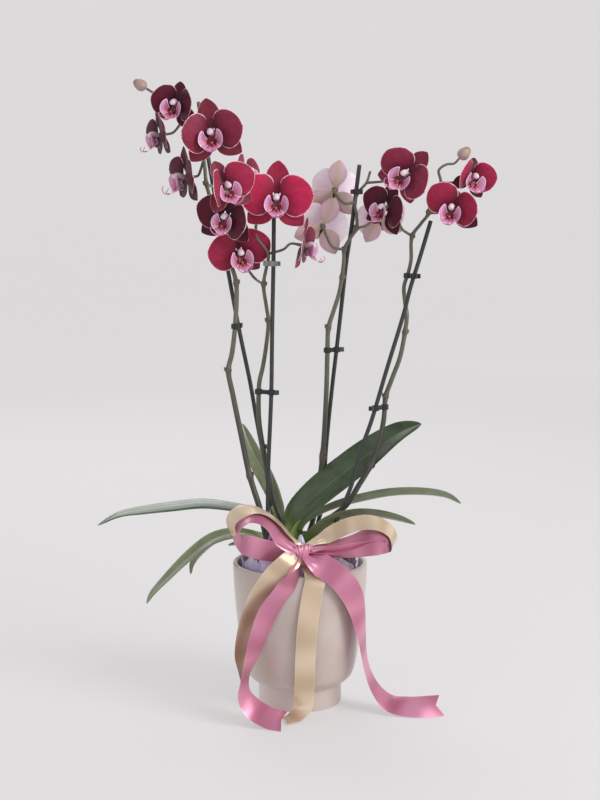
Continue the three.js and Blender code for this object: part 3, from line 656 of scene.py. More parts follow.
@dataclass(frozen=True)
class LipFinish:
    """Skin of a lip: dark throat, orange towards the base, lilac lobes with white edges."""

    name: str
    stops: tuple[tuple[float, int], ...]
    edge: int
    width: float
    vein: int

    def make(self) -> bpy.types.Material:
        """Build the material."""
        recipe = Recipe(self.name)
        cloud = recipe.mottle(recipe.flat, 3.5, 2.0)
        tone = recipe.math("MULTIPLY_ADD", cloud, 0.14, recipe.attribute("tone"))
        ramp = recipe.add("ShaderNodeValToRGB", {0: tone})
        elements = ramp.color_ramp.elements
        while len(elements) < len(self.stops):
            elements.new(0.5)
        for element, (position, colour) in zip(elements, self.stops):
            element.position = position
            element.color = tint(colour)
        colour = recipe.blend(recipe.veins(26.0, 2.0), ramp.outputs[0], self.vein, 0.35)
        colour = recipe.blend(recipe.scallop(self.width), colour, self.edge)
        return recipe.close(
            colour, recipe.skin(1800.0, 0.2), Roughness=0.36, Specular_IOR_Level=0.5, Coat_Weight=0.15,
            Coat_Roughness=0.3, Subsurface_Weight=0.12, Subsurface_Scale=0.0015,
        )


@dataclass(frozen=True)
class LeafFinish:
    """Leathery leaf skin with a paler midrib and faint long veins."""

    name: str
    light: int
    deep: int
    rib: int
    base: int
    roughness: float
    coat: float

    def make(self) -> bpy.types.Material:
        """Build the material."""
        recipe = Recipe(self.name)
        cloud = recipe.mottle(recipe.object, 60.0, 4.0)
        streak = recipe.mottle(recipe.drawn(9.0, 0.25), 2.2, 2.0)
        edge = recipe.span(recipe.attribute("rim"), 0.9, 0.2)
        colour = recipe.blend(cloud, self.deep, self.light)
        colour = recipe.blend(streak, colour, self.rib, 0.22)
        colour = recipe.blend(recipe.midrib(0.14, 0.02), colour, self.rib, 0.55)
        colour = recipe.blend(recipe.attribute("tone"), colour, self.base)
        colour = recipe.blend(edge, colour, self.rib, 0.35)
        rough = recipe.span(cloud, 0.0, 1.0, self.roughness - 0.04, self.roughness + 0.06)
        return recipe.close(
            colour, recipe.bump(streak, 0.06, 0.0002, recipe.skin(700.0, 0.08)), Roughness=rough,
            Coat_Weight=self.coat, Coat_Roughness=0.2, Specular_IOR_Level=0.45, Sheen_Weight=0.12,
            Sheen_Roughness=0.4,
        )


@dataclass(frozen=True)
class StalkFinish:
    """Skin of a stem or stake: lengthwise streaks, and another colour where the tone mask says."""

    name: str
    light: int
    deep: int
    marked: int
    roughness: float
    coat: float = 0.0
    streaks: float = 1.0
    low: int | None = None

    def make(self) -> bpy.types.Material:
        """Build the material."""
        recipe = Recipe(self.name)
        streak = recipe.mottle(recipe.drawn(6.0, 0.35), 2.5, 3.0)
        colour = recipe.blend(streak, self.light, self.deep, self.streaks)
        colour = recipe.blend(recipe.mottle(recipe.object, 90.0, 3.0), colour, self.deep, 0.35)
        if self.low is not None:
            fall = recipe.span(recipe.part(recipe.object, 2), 0.39, 0.27)
            colour = recipe.blend(fall, colour, self.low, 0.85)
        colour = recipe.blend(recipe.attribute("tone"), colour, self.marked)
        return recipe.close(
            colour, recipe.bump(streak, 0.35, 0.0003, recipe.skin(900.0, 0.2)), Roughness=self.roughness,
            Coat_Weight=self.coat, Coat_Roughness=0.25,
        )


@dataclass(frozen=True)
class SatinFinish:
    """Satin ribbon with long soft highlights, painted soft bands of light and shade, and a firmer woven edge.
    """

    name: str
    light: int
    deep: int
    edge: int

    def make(self) -> bpy.types.Material:
        """Build the material."""
        recipe = Recipe(self.name)
        # Painted shade: soft cloudy bands that pull the satin towards its deep colour, standing in for the
        # shading of folds.
        fold = recipe.mottle(recipe.drawn(0.15, 0.5), 0.7, 0.5)
        edge = recipe.span(recipe.attribute("rim"), 1.1, 0.5)
        colour = recipe.blend(fold, self.light, self.deep, 0.62)
        colour = recipe.blend(edge, colour, self.edge, 0.25)
        threads = recipe.effect("thread", {"Vector": recipe.flat, "Strength": 0.12, "Depth": 0.00008})
        tangent = recipe.add("ShaderNodeTangent", direction_type="UV_MAP", uv_map="UVMap").outputs[0]
        return recipe.close(
            colour, threads, Tangent=tangent, Roughness=0.3, Metallic=0.42, Anisotropic=0.5,
            Sheen_Weight=0.1, Sheen_Roughness=0.35, Specular_IOR_Level=0.6,
        )


@dataclass(frozen=True)
class PlainFinish:
    """Even skin with cloudy variation: glaze, plastic, tissue, bark, clip or column."""

    name: str
    light: int
    deep: int
    marked: int
    roughness: float
    coat: float = 0.0
    patch: float = 40.0
    grain: float = 500.0
    relief: float = 0.2
    depth: float = 0.0003
    sheen: float = 0.0
    glow: float = 0.0

    def make(self) -> bpy.types.Material:
        """Build the material."""
        recipe = Recipe(self.name)
        cloud = recipe.mottle(recipe.object, self.patch, 4.0)
        colour = recipe.blend(cloud, self.light, self.deep)
        colour = recipe.blend(recipe.attribute("tone"), colour, self.marked)
        rough = recipe.span(cloud, 0.0, 1.0, self.roughness - 0.05, self.roughness + 0.05)
        return recipe.close(
            colour, recipe.skin(self.grain, self.relief, self.depth), Roughness=rough,
            Coat_Weight=self.coat, Coat_Roughness=0.18, Sheen_Weight=self.sheen,
            Subsurface_Weight=self.glow, Subsurface_Scale=0.003,
        )


@cache
def material(finish: Finish) -> bpy.types.Material:
    """Material of a finish, built when a piece first asks for it."""
    return finish.make()


class PaintedLight(Enum):
    """Painted light and shade on a flower's tepals, from the most lit to the most shaded: lit and shaded
    copies of the same crimson colours.
    """

    FULLY_LIT = "bright"
    MOSTLY_LIT = "wine"
    HALF_SHADED = "dull"
    MOSTLY_SHADED = "deep"
    FULLY_SHADED = "dark"


EDGE = 0xF0C8D6
# Lit and shaded copies of the crimson tepal colours, one set for each tone: painted light and shade, not a
# different colour of flower.
PETAL_PAINTED_LIT = TepalFinish("petal painted lit", 0xC02852, 0x701032, 0x86173A, EDGE, 1.5)
PETAL_PAINTED_HALF_LIT = TepalFinish("petal painted half lit", 0xA02346, 0x5A0E29, 0x741634, EDGE, 1.45)
PETAL_PAINTED_HALF_SHADE = TepalFinish("petal painted half shade", 0x8C2A45, 0x50122A, 0x641B34, EDGE, 1.4)
PETAL_PAINTED_FULL_SHADE = TepalFinish("petal painted full shade", 0x5A1228, 0x2B0716, 0x3A0C1F, 0xE3B3C6, 1.2, sheen=0.06)
SEPAL_PAINTED_LIT = TepalFinish("sepal painted lit", 0x9E2644, 0x5E1029, 0x7C1B38, 0xD79AAA, 0.8)
SEPAL_PAINTED_HALF_SHADE = TepalFinish("sepal painted half shade", 0x7E2B3C, 0x4C1426, 0x5C1B30, 0xC08E9C, 0.7)
SEPAL_PAINTED_FULL_SHADE = TepalFinish("sepal painted full shade", 0x4A1120, 0x270813, 0x360C1B, 0xB58494, 0.6, sheen=0.06)
TEPALS = {
    PaintedLight.FULLY_LIT: (PETAL_PAINTED_LIT, SEPAL_PAINTED_LIT), PaintedLight.MOSTLY_LIT: (PETAL_PAINTED_HALF_LIT, SEPAL_PAINTED_HALF_SHADE),
    PaintedLight.HALF_SHADED: (PETAL_PAINTED_HALF_SHADE, SEPAL_PAINTED_HALF_SHADE), PaintedLight.MOSTLY_SHADED: (PETAL_PAINTED_HALF_LIT, SEPAL_PAINTED_FULL_SHADE),
    PaintedLight.FULLY_SHADED: (PETAL_PAINTED_FULL_SHADE, SEPAL_PAINTED_FULL_SHADE),
}
TEPAL_BACKS = (
    TepalFinish("petal back", 0xFAF0F9, 0xEAD2E3, 0xD8B4CE, 0xFCF8FB, 1.3, 0.12, 3.0),
    TepalFinish("sepal back", 0xCDAEBC, 0xB9A396, 0xAE8490, 0xDCBBCB, 1.0, 0.12, 2.2, midrib=0xB5A484),
)
LIP = LipFinish(
    "lip lobes",
    (
        (0.0, 0x3E0A18), (0.22, 0x701228), (0.34, 0xA83038), (0.45, 0xD07A62), (0.56, 0xC66690),
        (0.75, 0xCC84B0), (1.0, 0xDAA6CA),
    ),
    0xF6E6F0, 0.9, 0xB2568E,
)
LIP_OUTSIDE = LipFinish(
    "lip outside",
    ((0.0, 0x8E4A62), (0.3, 0xB88094), (0.6, 0xBD84AE), (1.0, 0xCDA0C8)),
    0xF2DEEA, 0.9, 0xA04A84,
)
COLUMN = PlainFinish(
    "column ivory", 0xE6D3DC, 0xD8BFCC, 0xB25C88, 0.4, coat=0.15, patch=220, grain=1500, glow=0.2,
)
LEAF_FACES = (
    LeafFinish("leaf upper", 0x394A31, 0x273722, 0x687A56, 0x7C9A4E, 0.3, 0.4),
    LeafFinish("leaf under", 0x7A8762, 0x646F4E, 0x9CA884, 0x86A355, 0.36, 0.25),
)
STEM = StalkFinish("flower stem", 0x6C6B57, 0x48483A, 0x54493C, 0.38, 0.25, 0.7, 0x302F29)
BRACT = StalkFinish("stem bract", 0x827A62, 0x5C5446, 0x665A48, 0.6)
STAKE = StalkFinish("plant stake", 0x2C3631, 0x191F1D, 0x6E6A52, 0.4, 0.1, 0.6)
CLIP_FINISH = PlainFinish("stem clip", 0x181F1F, 0x0E1516, 0x9AA3A0, 0.32, coat=0.2, patch=300)
BUD_FINISH = StalkFinish("flower bud", 0xC0949A, 0x8E886A, 0x7A4A50, 0.45, 0.1, 0.8)
GLAZE = PlainFinish(
    "taupe glaze", 0xC9BBB5, 0xBFB0A9, 0xD6C6C2, 0.34, coat=0.35, patch=18, grain=260, relief=0.08,
)
PLASTIC = PlainFinish("growing pot plastic", 0x2B2A2D, 0x222125, 0x19181B, 0.42, patch=60)
BARK = PlainFinish(
    "bark mix", 0x6B4A33, 0x3E2A1D, 0x8A6A4C, 0.85, patch=160, grain=700, relief=0.8, depth=0.001,
)
TISSUE = PlainFinish(
    "lilac tissue", 0xD6CBE6, 0xBFB1D8, 0xE3DAF0, 0.36, coat=0.1, patch=120, grain=900, sheen=0.3, glow=0.3,
)
# Each satin's deep colour is its painted shade.
PINK = SatinFinish("pink satin", 0xDC93AF, 0xA04868, 0xE2A6BC)
CHAMPAGNE = SatinFinish("champagne satin", 0xE6D2B8, 0xB0906F, 0xEBDCC6)


@dataclass(frozen=True)
class TepalForm:
    """Shape of one petal or sepal in its flower's own frame.

    It has a length, a greatest half width and the half width of its foot. It is lifted by degrees, its
    tip curls and its edges rise by so many millimetres, and front is the height of its foot. Broad says
    how far out it is widest, and blunt how full its outline is. Shoulder draws its lower corners back,
    and ripple is the height of its waves.
    """

    length: float
    half: float
    foot: float
    lift: float
    curl: float
    crown: float
    front: float
    broad: float
    blunt: float
    shoulder: float = 0.0
    ripple: float = 0.8
    waves: float = 1.5
    rows: int = 22
    columns: int = 16

    def half_at(self, grown: float) -> float:
        """Half width at a share of the length."""
        swell = math.sin(math.pi * min(1.0, grown ** self.broad)) if grown > 0 else 0.0
        return self.half * max(0.0, swell) ** self.blunt + self.foot * (1 - max(0.0, grown))


PETAL = TepalForm(37, 19.6, 2.5, 17, -5, -2.4, -0.6, 0.86, 0.56, shoulder=5, ripple=0.9)
DORSAL = TepalForm(37, 10.6, 2.2, -2, 3, 1.2, -2, 1.08, 0.66, ripple=0.5, rows=20, columns=12)
LATERAL = TepalForm(37, 11.6, 2.0, -3, 2, 1.2, -2, 0.92, 0.7, ripple=0.5, rows=20, columns=12)


class Tepal(Enum):
    """The five tepals: where each points, in degrees from the flower's right."""

    PETAL_RIGHT = 10.0
    DORSAL = 90.0
    PETAL_LEFT = 170.0
    LATERAL_LEFT = 222.0
    LATERAL_RIGHT = -42.0

    @property
    def form(self) -> TepalForm:
        """Shape of this tepal."""
        if self is Tepal.DORSAL:
            return DORSAL
        if self in (Tepal.PETAL_LEFT, Tepal.PETAL_RIGHT):
            return PETAL
        return LATERAL

    @property
    def is_petal(self) -> bool:
        """Whether this is one of the two broad petals."""
        return self in (Tepal.PETAL_LEFT, Tepal.PETAL_RIGHT)


PL, PR, DO = Tepal.PETAL_LEFT, Tepal.PETAL_RIGHT, Tepal.DORSAL
LL, LR = Tepal.LATERAL_LEFT, Tepal.LATERAL_RIGHT


@dataclass(frozen=True)
class Bend:
    """How one tepal differs from its form: folded forward, swung round, its size and its cup."""

    fold: float = 0.0
    swing: float = 0.0
    size: float = 1.0
    cup: float = 0.0


@dataclass(frozen=True)
class Bloom:
    """One open flower: its place, turn to the right, nod down, roll clockwise, size and tone, the painted
    light and shade on its tepals.

    Its tepals start at the heart, a share of their length before it counts as their claw, and fold at
    the hinge. Back is where the stalk meets the flower.
    """

    name: str
    at: Point
    turn: float
    nod: float
    roll: float
    size: float
    # Painted light and shade on the tepals.
    tone: PaintedLight = PaintedLight.HALF_SHADED
    grow: float = 1.0
    bends: dict[Tepal, Bend] = field(default_factory=dict)

    heart: float = 5.0
    claw: float = -0.1
    hinge: float = 3.0
    back: float = -5.0
    thickness: float = 0.9

    def frame(self) -> Matrix:
        """Matrix from the flower's own frame, x right, y up and z out of its face, without roll and size."""
        spin = Matrix.Rotation(math.radians(self.turn), 4, "Z")
        tip = Matrix.Rotation(math.radians(90 + self.nod), 4, "X")
        return Matrix.Translation(self.at) @ spin @ tip

    def whole(self) -> Matrix:
        """The frame with the roll and size too."""
        return self.frame() @ Matrix.Rotation(math.radians(-self.roll), 4, "Z") @ Matrix.Scale(self.size, 4)

    def surface(self, tepal: Tepal, draw: random.Random) -> tuple[Surface, Surface, Field]:
        """Formulas of one tepal.

        Args:
            tepal: which of the five.
            draw: this flower's own draws.

        Returns:
            Its middle surface, its flat map and its distance from the edge.
        """
        form = tepal.form
        bend = self.bends.get(tepal, Bend())
        direction = math.radians(tepal.value + bend.swing + draw.uniform(-2, 2))
        slope = math.tan(math.radians(form.lift + draw.uniform(-1.5, 1.5)))
        phase = draw.uniform(0, 1)
        waves = form.waves + draw.uniform(-0.3, 0.3)
        fold = math.radians(bend.fold)
        grow = bend.size * self.grow
        pivot = self.hinge

        def middle(s: float, t: float) -> Vector:
            """Place of a point of the tepal."""
            grown = mix(self.claw, 1, s)
            along = mix(self.heart, form.length, grown)
            side = form.half_at(grown) * t
            across = side / form.half
            rise = max(0.0, grown)
            along -= form.shoulder * across * across * (1 - rise) ** 2
            height = form.front + along * slope + form.curl * rise ** 2
            height += (form.crown + bend.cup) * across ** 2
            lap = abs(t) ** 3 * ease(0.1, 0.5, s) * form.ripple
            height += lap * math.sin(math.tau * (waves * s + phase) + (1.9 if t > 0 else 0))
            height += 0.5 * (1 - abs(t)) ** 2 * (1 if tepal.is_petal else -1) * ease(0, 0.3, s)
            lever = along - pivot
            along = (pivot + lever * math.cos(fold) - height * math.sin(fold)) * grow
            height = (lever * math.sin(fold) + height * math.cos(fold)) * grow
            side *= grow
            return Vector((
                along * math.cos(direction) - side * math.sin(direction),
                along * math.sin(direction) + side * math.cos(direction),
                height,
            ))

        def flat(s: float, t: float) -> Vector:
            """Flat map: across and along, in millimetres."""
            grown = mix(self.claw, 1, s)
            return Vector((form.half_at(grown) * t, mix(self.heart, form.length, grown), 0))

        def rim(s: float, t: float) -> float:
            """Distance from the edge, left out at the claw."""
            grown = mix(self.claw, 1, s)
            claw = 4 * max(0.0, 1 - grown / 0.12)
            return min((1 - abs(t)) * form.half_at(grown), (1 - s) * (form.length - self.heart)) + claw

        return middle, flat, rim

    def tepals(self, seed: int) -> bpy.types.Object:
        """Make the five tepals and the hub behind them as one piece.

        Args:
            seed: of this flower's own draws.

        Returns:
            The piece.
        """
        draw = random.Random(seed)
        maker = Maker(f"{self.name}_tepals")
        for tepal in (DO, LL, LR, PL, PR):
            middle, flat, rim = self.surface(tepal, draw)
            form = tepal.form
            finishes = (2, 0) if tepal.is_petal else (3, 1)
            maker.blade(form.rows, form.columns, middle, self.thickness, finishes, flat, rim)
        hub = Route(((0, 0, self.back), (0, 0, -2), (0, 0, 1.4)))
        rings = [(0, 0), (0, 1.5), (0.3, 2.3), (0.6, 3.6), (0.85, 3.2), (1, 1.6), (1, 0)]
        maker.tube(hub, rings, 14, 4)
        bmesh.ops.transform(maker.mesh, matrix=self.whole(), verts=maker.mesh.verts)
        # Lit or shaded copy of the tepal colours: painted light and shade.
        petal, sepal = TEPALS[self.tone]
        return maker.done([petal, sepal, *TEPAL_BACKS, STEM], "tepal", [self.name], 60)

    def lip(self, seed: int) -> bpy.types.Object:
        """Make the lip and the column above it as one piece.

        Args:
            seed: of this flower's own draws.

        Returns:
            The piece.
        """
        draw = random.Random(seed)
        maker = Maker(f"{self.name}_throat")
        for hand in (1, -1):
            self._side_lobe(maker, hand, draw)
            self._tendril(maker, hand, draw)
        self._tongue(maker)
        self._column(maker)
        bmesh.ops.transform(maker.mesh, matrix=self.whole(), verts=maker.mesh.verts)
        return maker.done([LIP, COLUMN, LIP_OUTSIDE], "lip", [f"{self.name}_lip"], 60)

    def _side_lobe(self, maker: Maker, hand: int, draw: random.Random) -> None:
        """Upright rounded lobe at one side of the column, its inner face turned forward.

        Args:
            maker: the mesh that it goes in.
            hand: 1 for the flower's right, -1 for its left.
            draw: this flower's own draws.
        """
        widest, length = 5.8, 20.0
        spread = draw.uniform(0.94, 1.06)
        keel = Route((
            (1.2, -10.6, 7), (5.7 * spread, -10.4, 9.5), (8.7 * spread, -6.4, 11.5),
            (9.0 * spread, -0.8, 12.6), (7.4 * spread, 4.2, 13),
        ))

        def half_at(s: float) -> float:
            """Half width of the lobe."""
            return widest * math.sin(math.pi * mix(0.16, 1, s) ** 0.95) ** 0.58

        def middle(s: float, t: float) -> Vector:
            """Place of a point of the lobe."""
            spot = keel.place(s)
            tangent = keel.tangent(s)
            across = Vector((mix(0.55, 0.85, s), -0.12, 0.6))
            across = (across - tangent * across.dot(tangent)).normalized()
            inward = across.cross(tangent)
            if inward.x > 0:
                inward.negate()
            half = half_at(s)
            ruffle = 0.35 * t * math.sin(11 * s + 2 * spread)
            spot = spot + across * half * t * hand + inward * (0.2 * half * t * t + ruffle)
            return Vector((spot.x * hand, spot.y, spot.z))

        def flat(s: float, t: float) -> Vector:
            """Flat map of the lobe."""
            return Vector((half_at(s) * t, length * s, 0))

        def rim(s: float, t: float) -> float:
            """Distance from the edge, left out at the foot."""
            return min((1 - abs(t)) * half_at(s), (1 - s) * length) + 3 * max(0.0, 1 - s / 0.2)

        def tone(s: float, t: float) -> float:
            """Dark at the foot and the rear edge, then orange, then lilac."""
            return min(1.0, 0.06 + 0.5 * ease(-0.95, 0.55, t * hand) + 0.48 * ease(0.08, 0.85, s))

        maker.blade(16, 12, middle, 0.8, (0, 2), flat, rim, tone)

    def _tongue(self, maker: Maker) -> None:
        """Middle lobe: dark in the throat, with a small anchor-shaped end, and the crest on it."""
        length = 26.0
        keel = Route(((0, -3, 4.5), (0, -9.5, 7.5), (0, -13, 12), (0, -16, 17), (0, -17, 21.5)))

        def half_at(s: float) -> float:
            """Half width of the tongue, widest at its two points."""
            base = mix(3.6, 4.4, ease(0, 0.35, s))
            points = 4.2 * math.exp(-((s - 0.6) / 0.09) ** 2)
            narrowed = 1 - ease(0.62, 1.02, s) * 0.86
            return max(0.0, (base + points) * narrowed * math.sqrt(max(0.0, 1 - s ** 14)))

        def middle(s: float, t: float) -> Vector:
            """Place of a point of the tongue."""
            half = half_at(s)
            cup = mix(0.5, 0.08, ease(0.35, 0.7, s))
            return keel.place(s) + Vector((half * t, half * cup * t * t, 0))

        def flat(s: float, t: float) -> Vector:
            """Flat map of the tongue."""
            return Vector((half_at(s) * t, length * s, 0))

        def rim(s: float, t: float) -> float:
            """Distance from the edge, only outside the throat."""
            return (1 - abs(t)) * half_at(s) + 3 * max(0.0, 1 - s / 0.5)

        def tone(s: float, t: float) -> float:
            """Dark in the throat and lilac at the end."""
            return mix(0.02, 0.85, ease(0.38, 0.72, s))

        maker.blade(20, 10, middle, 0.9, (0, 0), flat, rim, tone)
        crest = Route(((0, -10.5, 8.5), (0, -9, 10.5), (0, -9.6, 13)))
        rings = [(0, 0), (0.05, 1.0), (0.3, 1.5), (0.6, 1.6), (0.85, 1.1), (1, 0)]
        maker.tube(
            crest, rings, 10, 0, lambda s, a: 1 + 0.25 * abs(math.sin(a)) * s, lambda s: mix(0.2, 0.33, s),
        )

    def _tendril(self, maker: Maker, hand: int, draw: random.Random) -> None:
        """Thin curling thread at the end of the tongue.

        Args:
            maker: the mesh that it goes in.
            hand: 1 for the flower's right, -1 for its left.
            draw: this flower's own draws.
        """
        up = draw.uniform(-1, 2)
        line = Route((
            (0.4 * hand, -17, 21), (1.6 * hand, -17, 24), (4.4 * hand, -16 + up * 0.4, 26.5),
            (7.4 * hand, -13.6 + up, 26.6), (8.6 * hand, -11 + up, 24.8), (7.6 * hand, -10 + up, 23.6),
        ))
        rings = [(0, 0.9), (0.15, 0.75), (0.35, 0.6), (0.6, 0.5), (0.8, 0.4), (0.95, 0.3), (1, 0)]
        maker.tube(line, [(0, 0), *rings], 7, 0, None, lambda s: 0.62)

    def _column(self, maker: Maker) -> None:
        """Column with its rounded cap."""
        start = 1.7 + CLEARANCE / self.size
        line = Route(((0, 0, start), (0, 2.4, 6), (0, 3.2, 9.6), (0, 1.6, 13), (0, -0.6, 14.6)))
        rings = [
            (0, 0), (0, 2.6), (0.2, 2.9), (0.4, 3.0), (0.55, 3.1), (0.7, 3.3), (0.85, 3.0), (0.95, 2.0),
            (1, 0),
        ]
        maker.tube(
            line, rings, 16, 1, lambda s, a: 1 + 0.06 * math.cos(a), lambda s: 0.75 * ease(0.55, 0.1, s),
        )


# Each flower's tone sets the painted light and shade on its tepals.
BLOOMS = (
    Bloom("bloom_01", (-126, -4, 633), -20, 4, 14, 0.92, PaintedLight.FULLY_SHADED, 0.9, {
        PR: Bend(30, 0, 0.95), PL: Bend(34, 0, 0.95), DO: Bend(-22, 14, 0.8), LL: Bend(0, 0, 0.85),
    }),
    Bloom("bloom_02", (-147, 31, 603), -68, 10, 0, 0.84, PaintedLight.FULLY_SHADED, 0.9, {PL: Bend(6), PR: Bend(-6)}),
    Bloom("bloom_03", (-89, -30, 602), -4, 4, -9, 1.0, PaintedLight.HALF_SHADED, 0.96, {PL: Bend(30), PR: Bend(12)}),
    Bloom("bloom_04", (-119, 8, 559), -64, 6, 6, 0.92, PaintedLight.FULLY_SHADED, 0.94),
    Bloom("bloom_05", (-75, -60, 549), 24, 4, -16, 0.94, PaintedLight.MOSTLY_LIT, 0.95, {
        PL: Bend(43), DO: Bend(-28, 0, 0.85), LL: Bend(4, 10, 0.85),
    }),
    Bloom(
        "bloom_06", (-75, -21, 518), -16, 6, 14, 0.92, PaintedLight.FULLY_SHADED, 0.96, {PR: Bend(26, -14), LR: Bend(0, 8)},
    ),
    Bloom("bloom_07", (-63, 4, 481), 12, 8, -10, 0.98, PaintedLight.MOSTLY_LIT, 0.96, {
        PR: Bend(8, 8), LL: Bend(-50, 0, 0.7), LR: Bend(0, -6, 0.8),
    }),
    Bloom("bloom_08", (-58, 24, 565), 64, 0, 10, 0.74, PaintedLight.HALF_SHADED, 0.95, {DO: Bend(-45, 0, 0.6)}),
    Bloom("bloom_09", (-24, -22, 537), 0, 4, 2, 1.0, PaintedLight.FULLY_LIT, 1.04),
    Bloom("bloom_10", (4, -15, 489), 76, 8, -6, 0.84, PaintedLight.HALF_SHADED, 0.95),
    Bloom("bloom_11", (37, 30, 546), 176, -8, -10, 0.96, PaintedLight.FULLY_LIT, 0.9, {PL: Bend(28), PR: Bend(28)}),
    Bloom("bloom_12", (24, 20, 508), 182, -5, -22, 0.94, PaintedLight.FULLY_LIT, 0.92, {PL: Bend(16), PR: Bend(16)}),
    Bloom("bloom_13", (89, -10, 527), -42, 0, 20, 0.86, PaintedLight.FULLY_SHADED, 0.94, {PR: Bend(8, -6)}),
    Bloom("bloom_14", (107, -47, 561), -26, 2, 40, 0.96, PaintedLight.HALF_SHADED, 0.92, {
        PL: Bend(22, -8), PR: Bend(16), DO: Bend(0, -6, 0.95), LR: Bend(0, 0, 0.9),
    }),
    Bloom("bloom_15", (155.5, -22, 527), -12, 2, 10, 0.92, PaintedLight.MOSTLY_SHADED, 0.92, {
        DO: Bend(-40, 0, 0.75), LR: Bend(0, 18), LL: Bend(-45, 0, 0.8), PR: Bend(20, -4), PL: Bend(4, -26),
    }),
    Bloom("bloom_16", (177.5, 8, 558), 20, 0, 16, 0.92, PaintedLight.MOSTLY_SHADED, 0.88, {
        DO: Bend(-20, -6, 0.8), PL: Bend(38, 0, 0.95), PR: Bend(24, 8, 0.92), LL: Bend(-30, 0, 0.7),
        LR: Bend(0, 4, 0.8),
    }),
    Bloom("bloom_17", (84, 32, 516), 160, 0, 16, 0.82, PaintedLight.HALF_SHADED, 0.95),
)
BLOOM = {bloom.name: bloom for bloom in BLOOMS}

Stalk = tuple[str, int, Point | None]


@dataclass(frozen=True)
class Spike:
    """Flower spike: its main stem, swollen at each joint, and a stalk to each flower."""

    name: str
    route: Route
    radii: tuple[float, float]
    joints: tuple[int, ...]
    flowers: tuple[Stalk, ...]
    swelling: float = 0.9
    reach: float = 3.0

    def radius(self, share: float) -> float:
        """Radius of the main stem at a share of it, without its joints."""
        return mix(self.radii[0], self.radii[1], share)

    def stem(self, maker: Maker) -> None:
        """Main stem with its joints.

        Args:
            maker: the mesh that it goes in.
        """
        last = len(self.route.points) - 1
        knots = [self.route.place(joint / last) for joint in self.joints]
        shares = [i / (last * 7) for i in range(last * 7 + 1)]

        def nearness(share: float) -> float:
            """1 at a joint, and 0 away from it."""
            spot = self.route.place(share)
            return max(math.exp(-((spot - knot).length / self.reach) ** 2) for knot in knots)

        near = {share: nearness(share) for share in shares}
        rings = [(share, self.radius(share) + self.swelling * near[share]) for share in shares]
        rings = [(0, 0), *rings, (1, rings[-1][1] * 0.6), (1, 0)]
        maker.tube(
            self.route, rings, 14, 0, lambda s, a: 1 + 0.025 * math.sin(3 * a + 9 * s),
            lambda s: 0.75 * near[s],
        )

    def bract(self, maker: Maker, joint: int, turn: float) -> None:
        """Dry scale that clasps the stem at a joint.

        Args:
            maker: the mesh that it goes in.
            joint: index of its point on the route.
            turn: direction in which it opens.
        """
        share = joint / (len(self.route.points) - 1)
        spot, axis = self.route.place(share), self.route.tangent(share)
        out = Vector((math.cos(turn), math.sin(turn), 0))
        out = (out - axis * out.dot(axis)).normalized()
        side = axis.cross(out)
        radius = self.radius(share) + self.swelling + 0.35

        def middle(s: float, t: float) -> Vector:
            """Place of a point of the scale."""
            wrap = 2.0 * t * (1 - s) ** 0.6
            lean = radius + 0.25 + 0.5 * s * s
            return spot + axis * (mix(-1.0, 3.4, s)) + (out * math.cos(wrap) + side * math.sin(wrap)) * lean

        maker.blade(8, 10, middle, 0.45, (1, 1), None, None, lambda s, t: 0.6 + 0.4 * s)

    def pedicel(self, maker: Maker, flower: Stalk) -> None:
        """Flower stalk from a joint to the back of a flower.

        Args:
            maker: the mesh that it goes in.
            flower: the flower's name, the joint, and a point on the way if there is one.
        """
        name, joint, via = flower
        bloom = BLOOM[name]
        back = bloom.back * bloom.size - CLEARANCE
        end = bloom.frame() @ Vector((0, 0, back))
        near = bloom.frame() @ Vector((0, 0, back - 9))
        start = Vector(self.route.points[joint])
        middle = Vector(via) if via else start.lerp(near, 0.5) + Vector((0, 0, -2))
        line = Route(tuple(tuple(place) for place in (start, middle, near, end)))
        shares = [i / 24 for i in range(25)]
        rings = [
            (share, mix(1.5, 1.35, share) + 0.5 * math.exp(-((share - 1) / 0.12) ** 2)) for share in shares
        ]
        maker.tube(line, [(0, 0), *rings, (1, 0)], 10, 0, None, lambda s: 0.25 * ease(0.55, 1, s))

    def make(self) -> bpy.types.Object:
        """Build the spike."""
        maker = Maker(f"{self.name}_stem")
        self.stem(maker)
        for index, joint in enumerate(self.joints):
            self.bract(maker, joint, 2.4 * index + len(self.name))
        for flower in self.flowers:
            self.pedicel(maker, flower)
        return maker.done([STEM, BRACT], "stem", [self.name], 60)


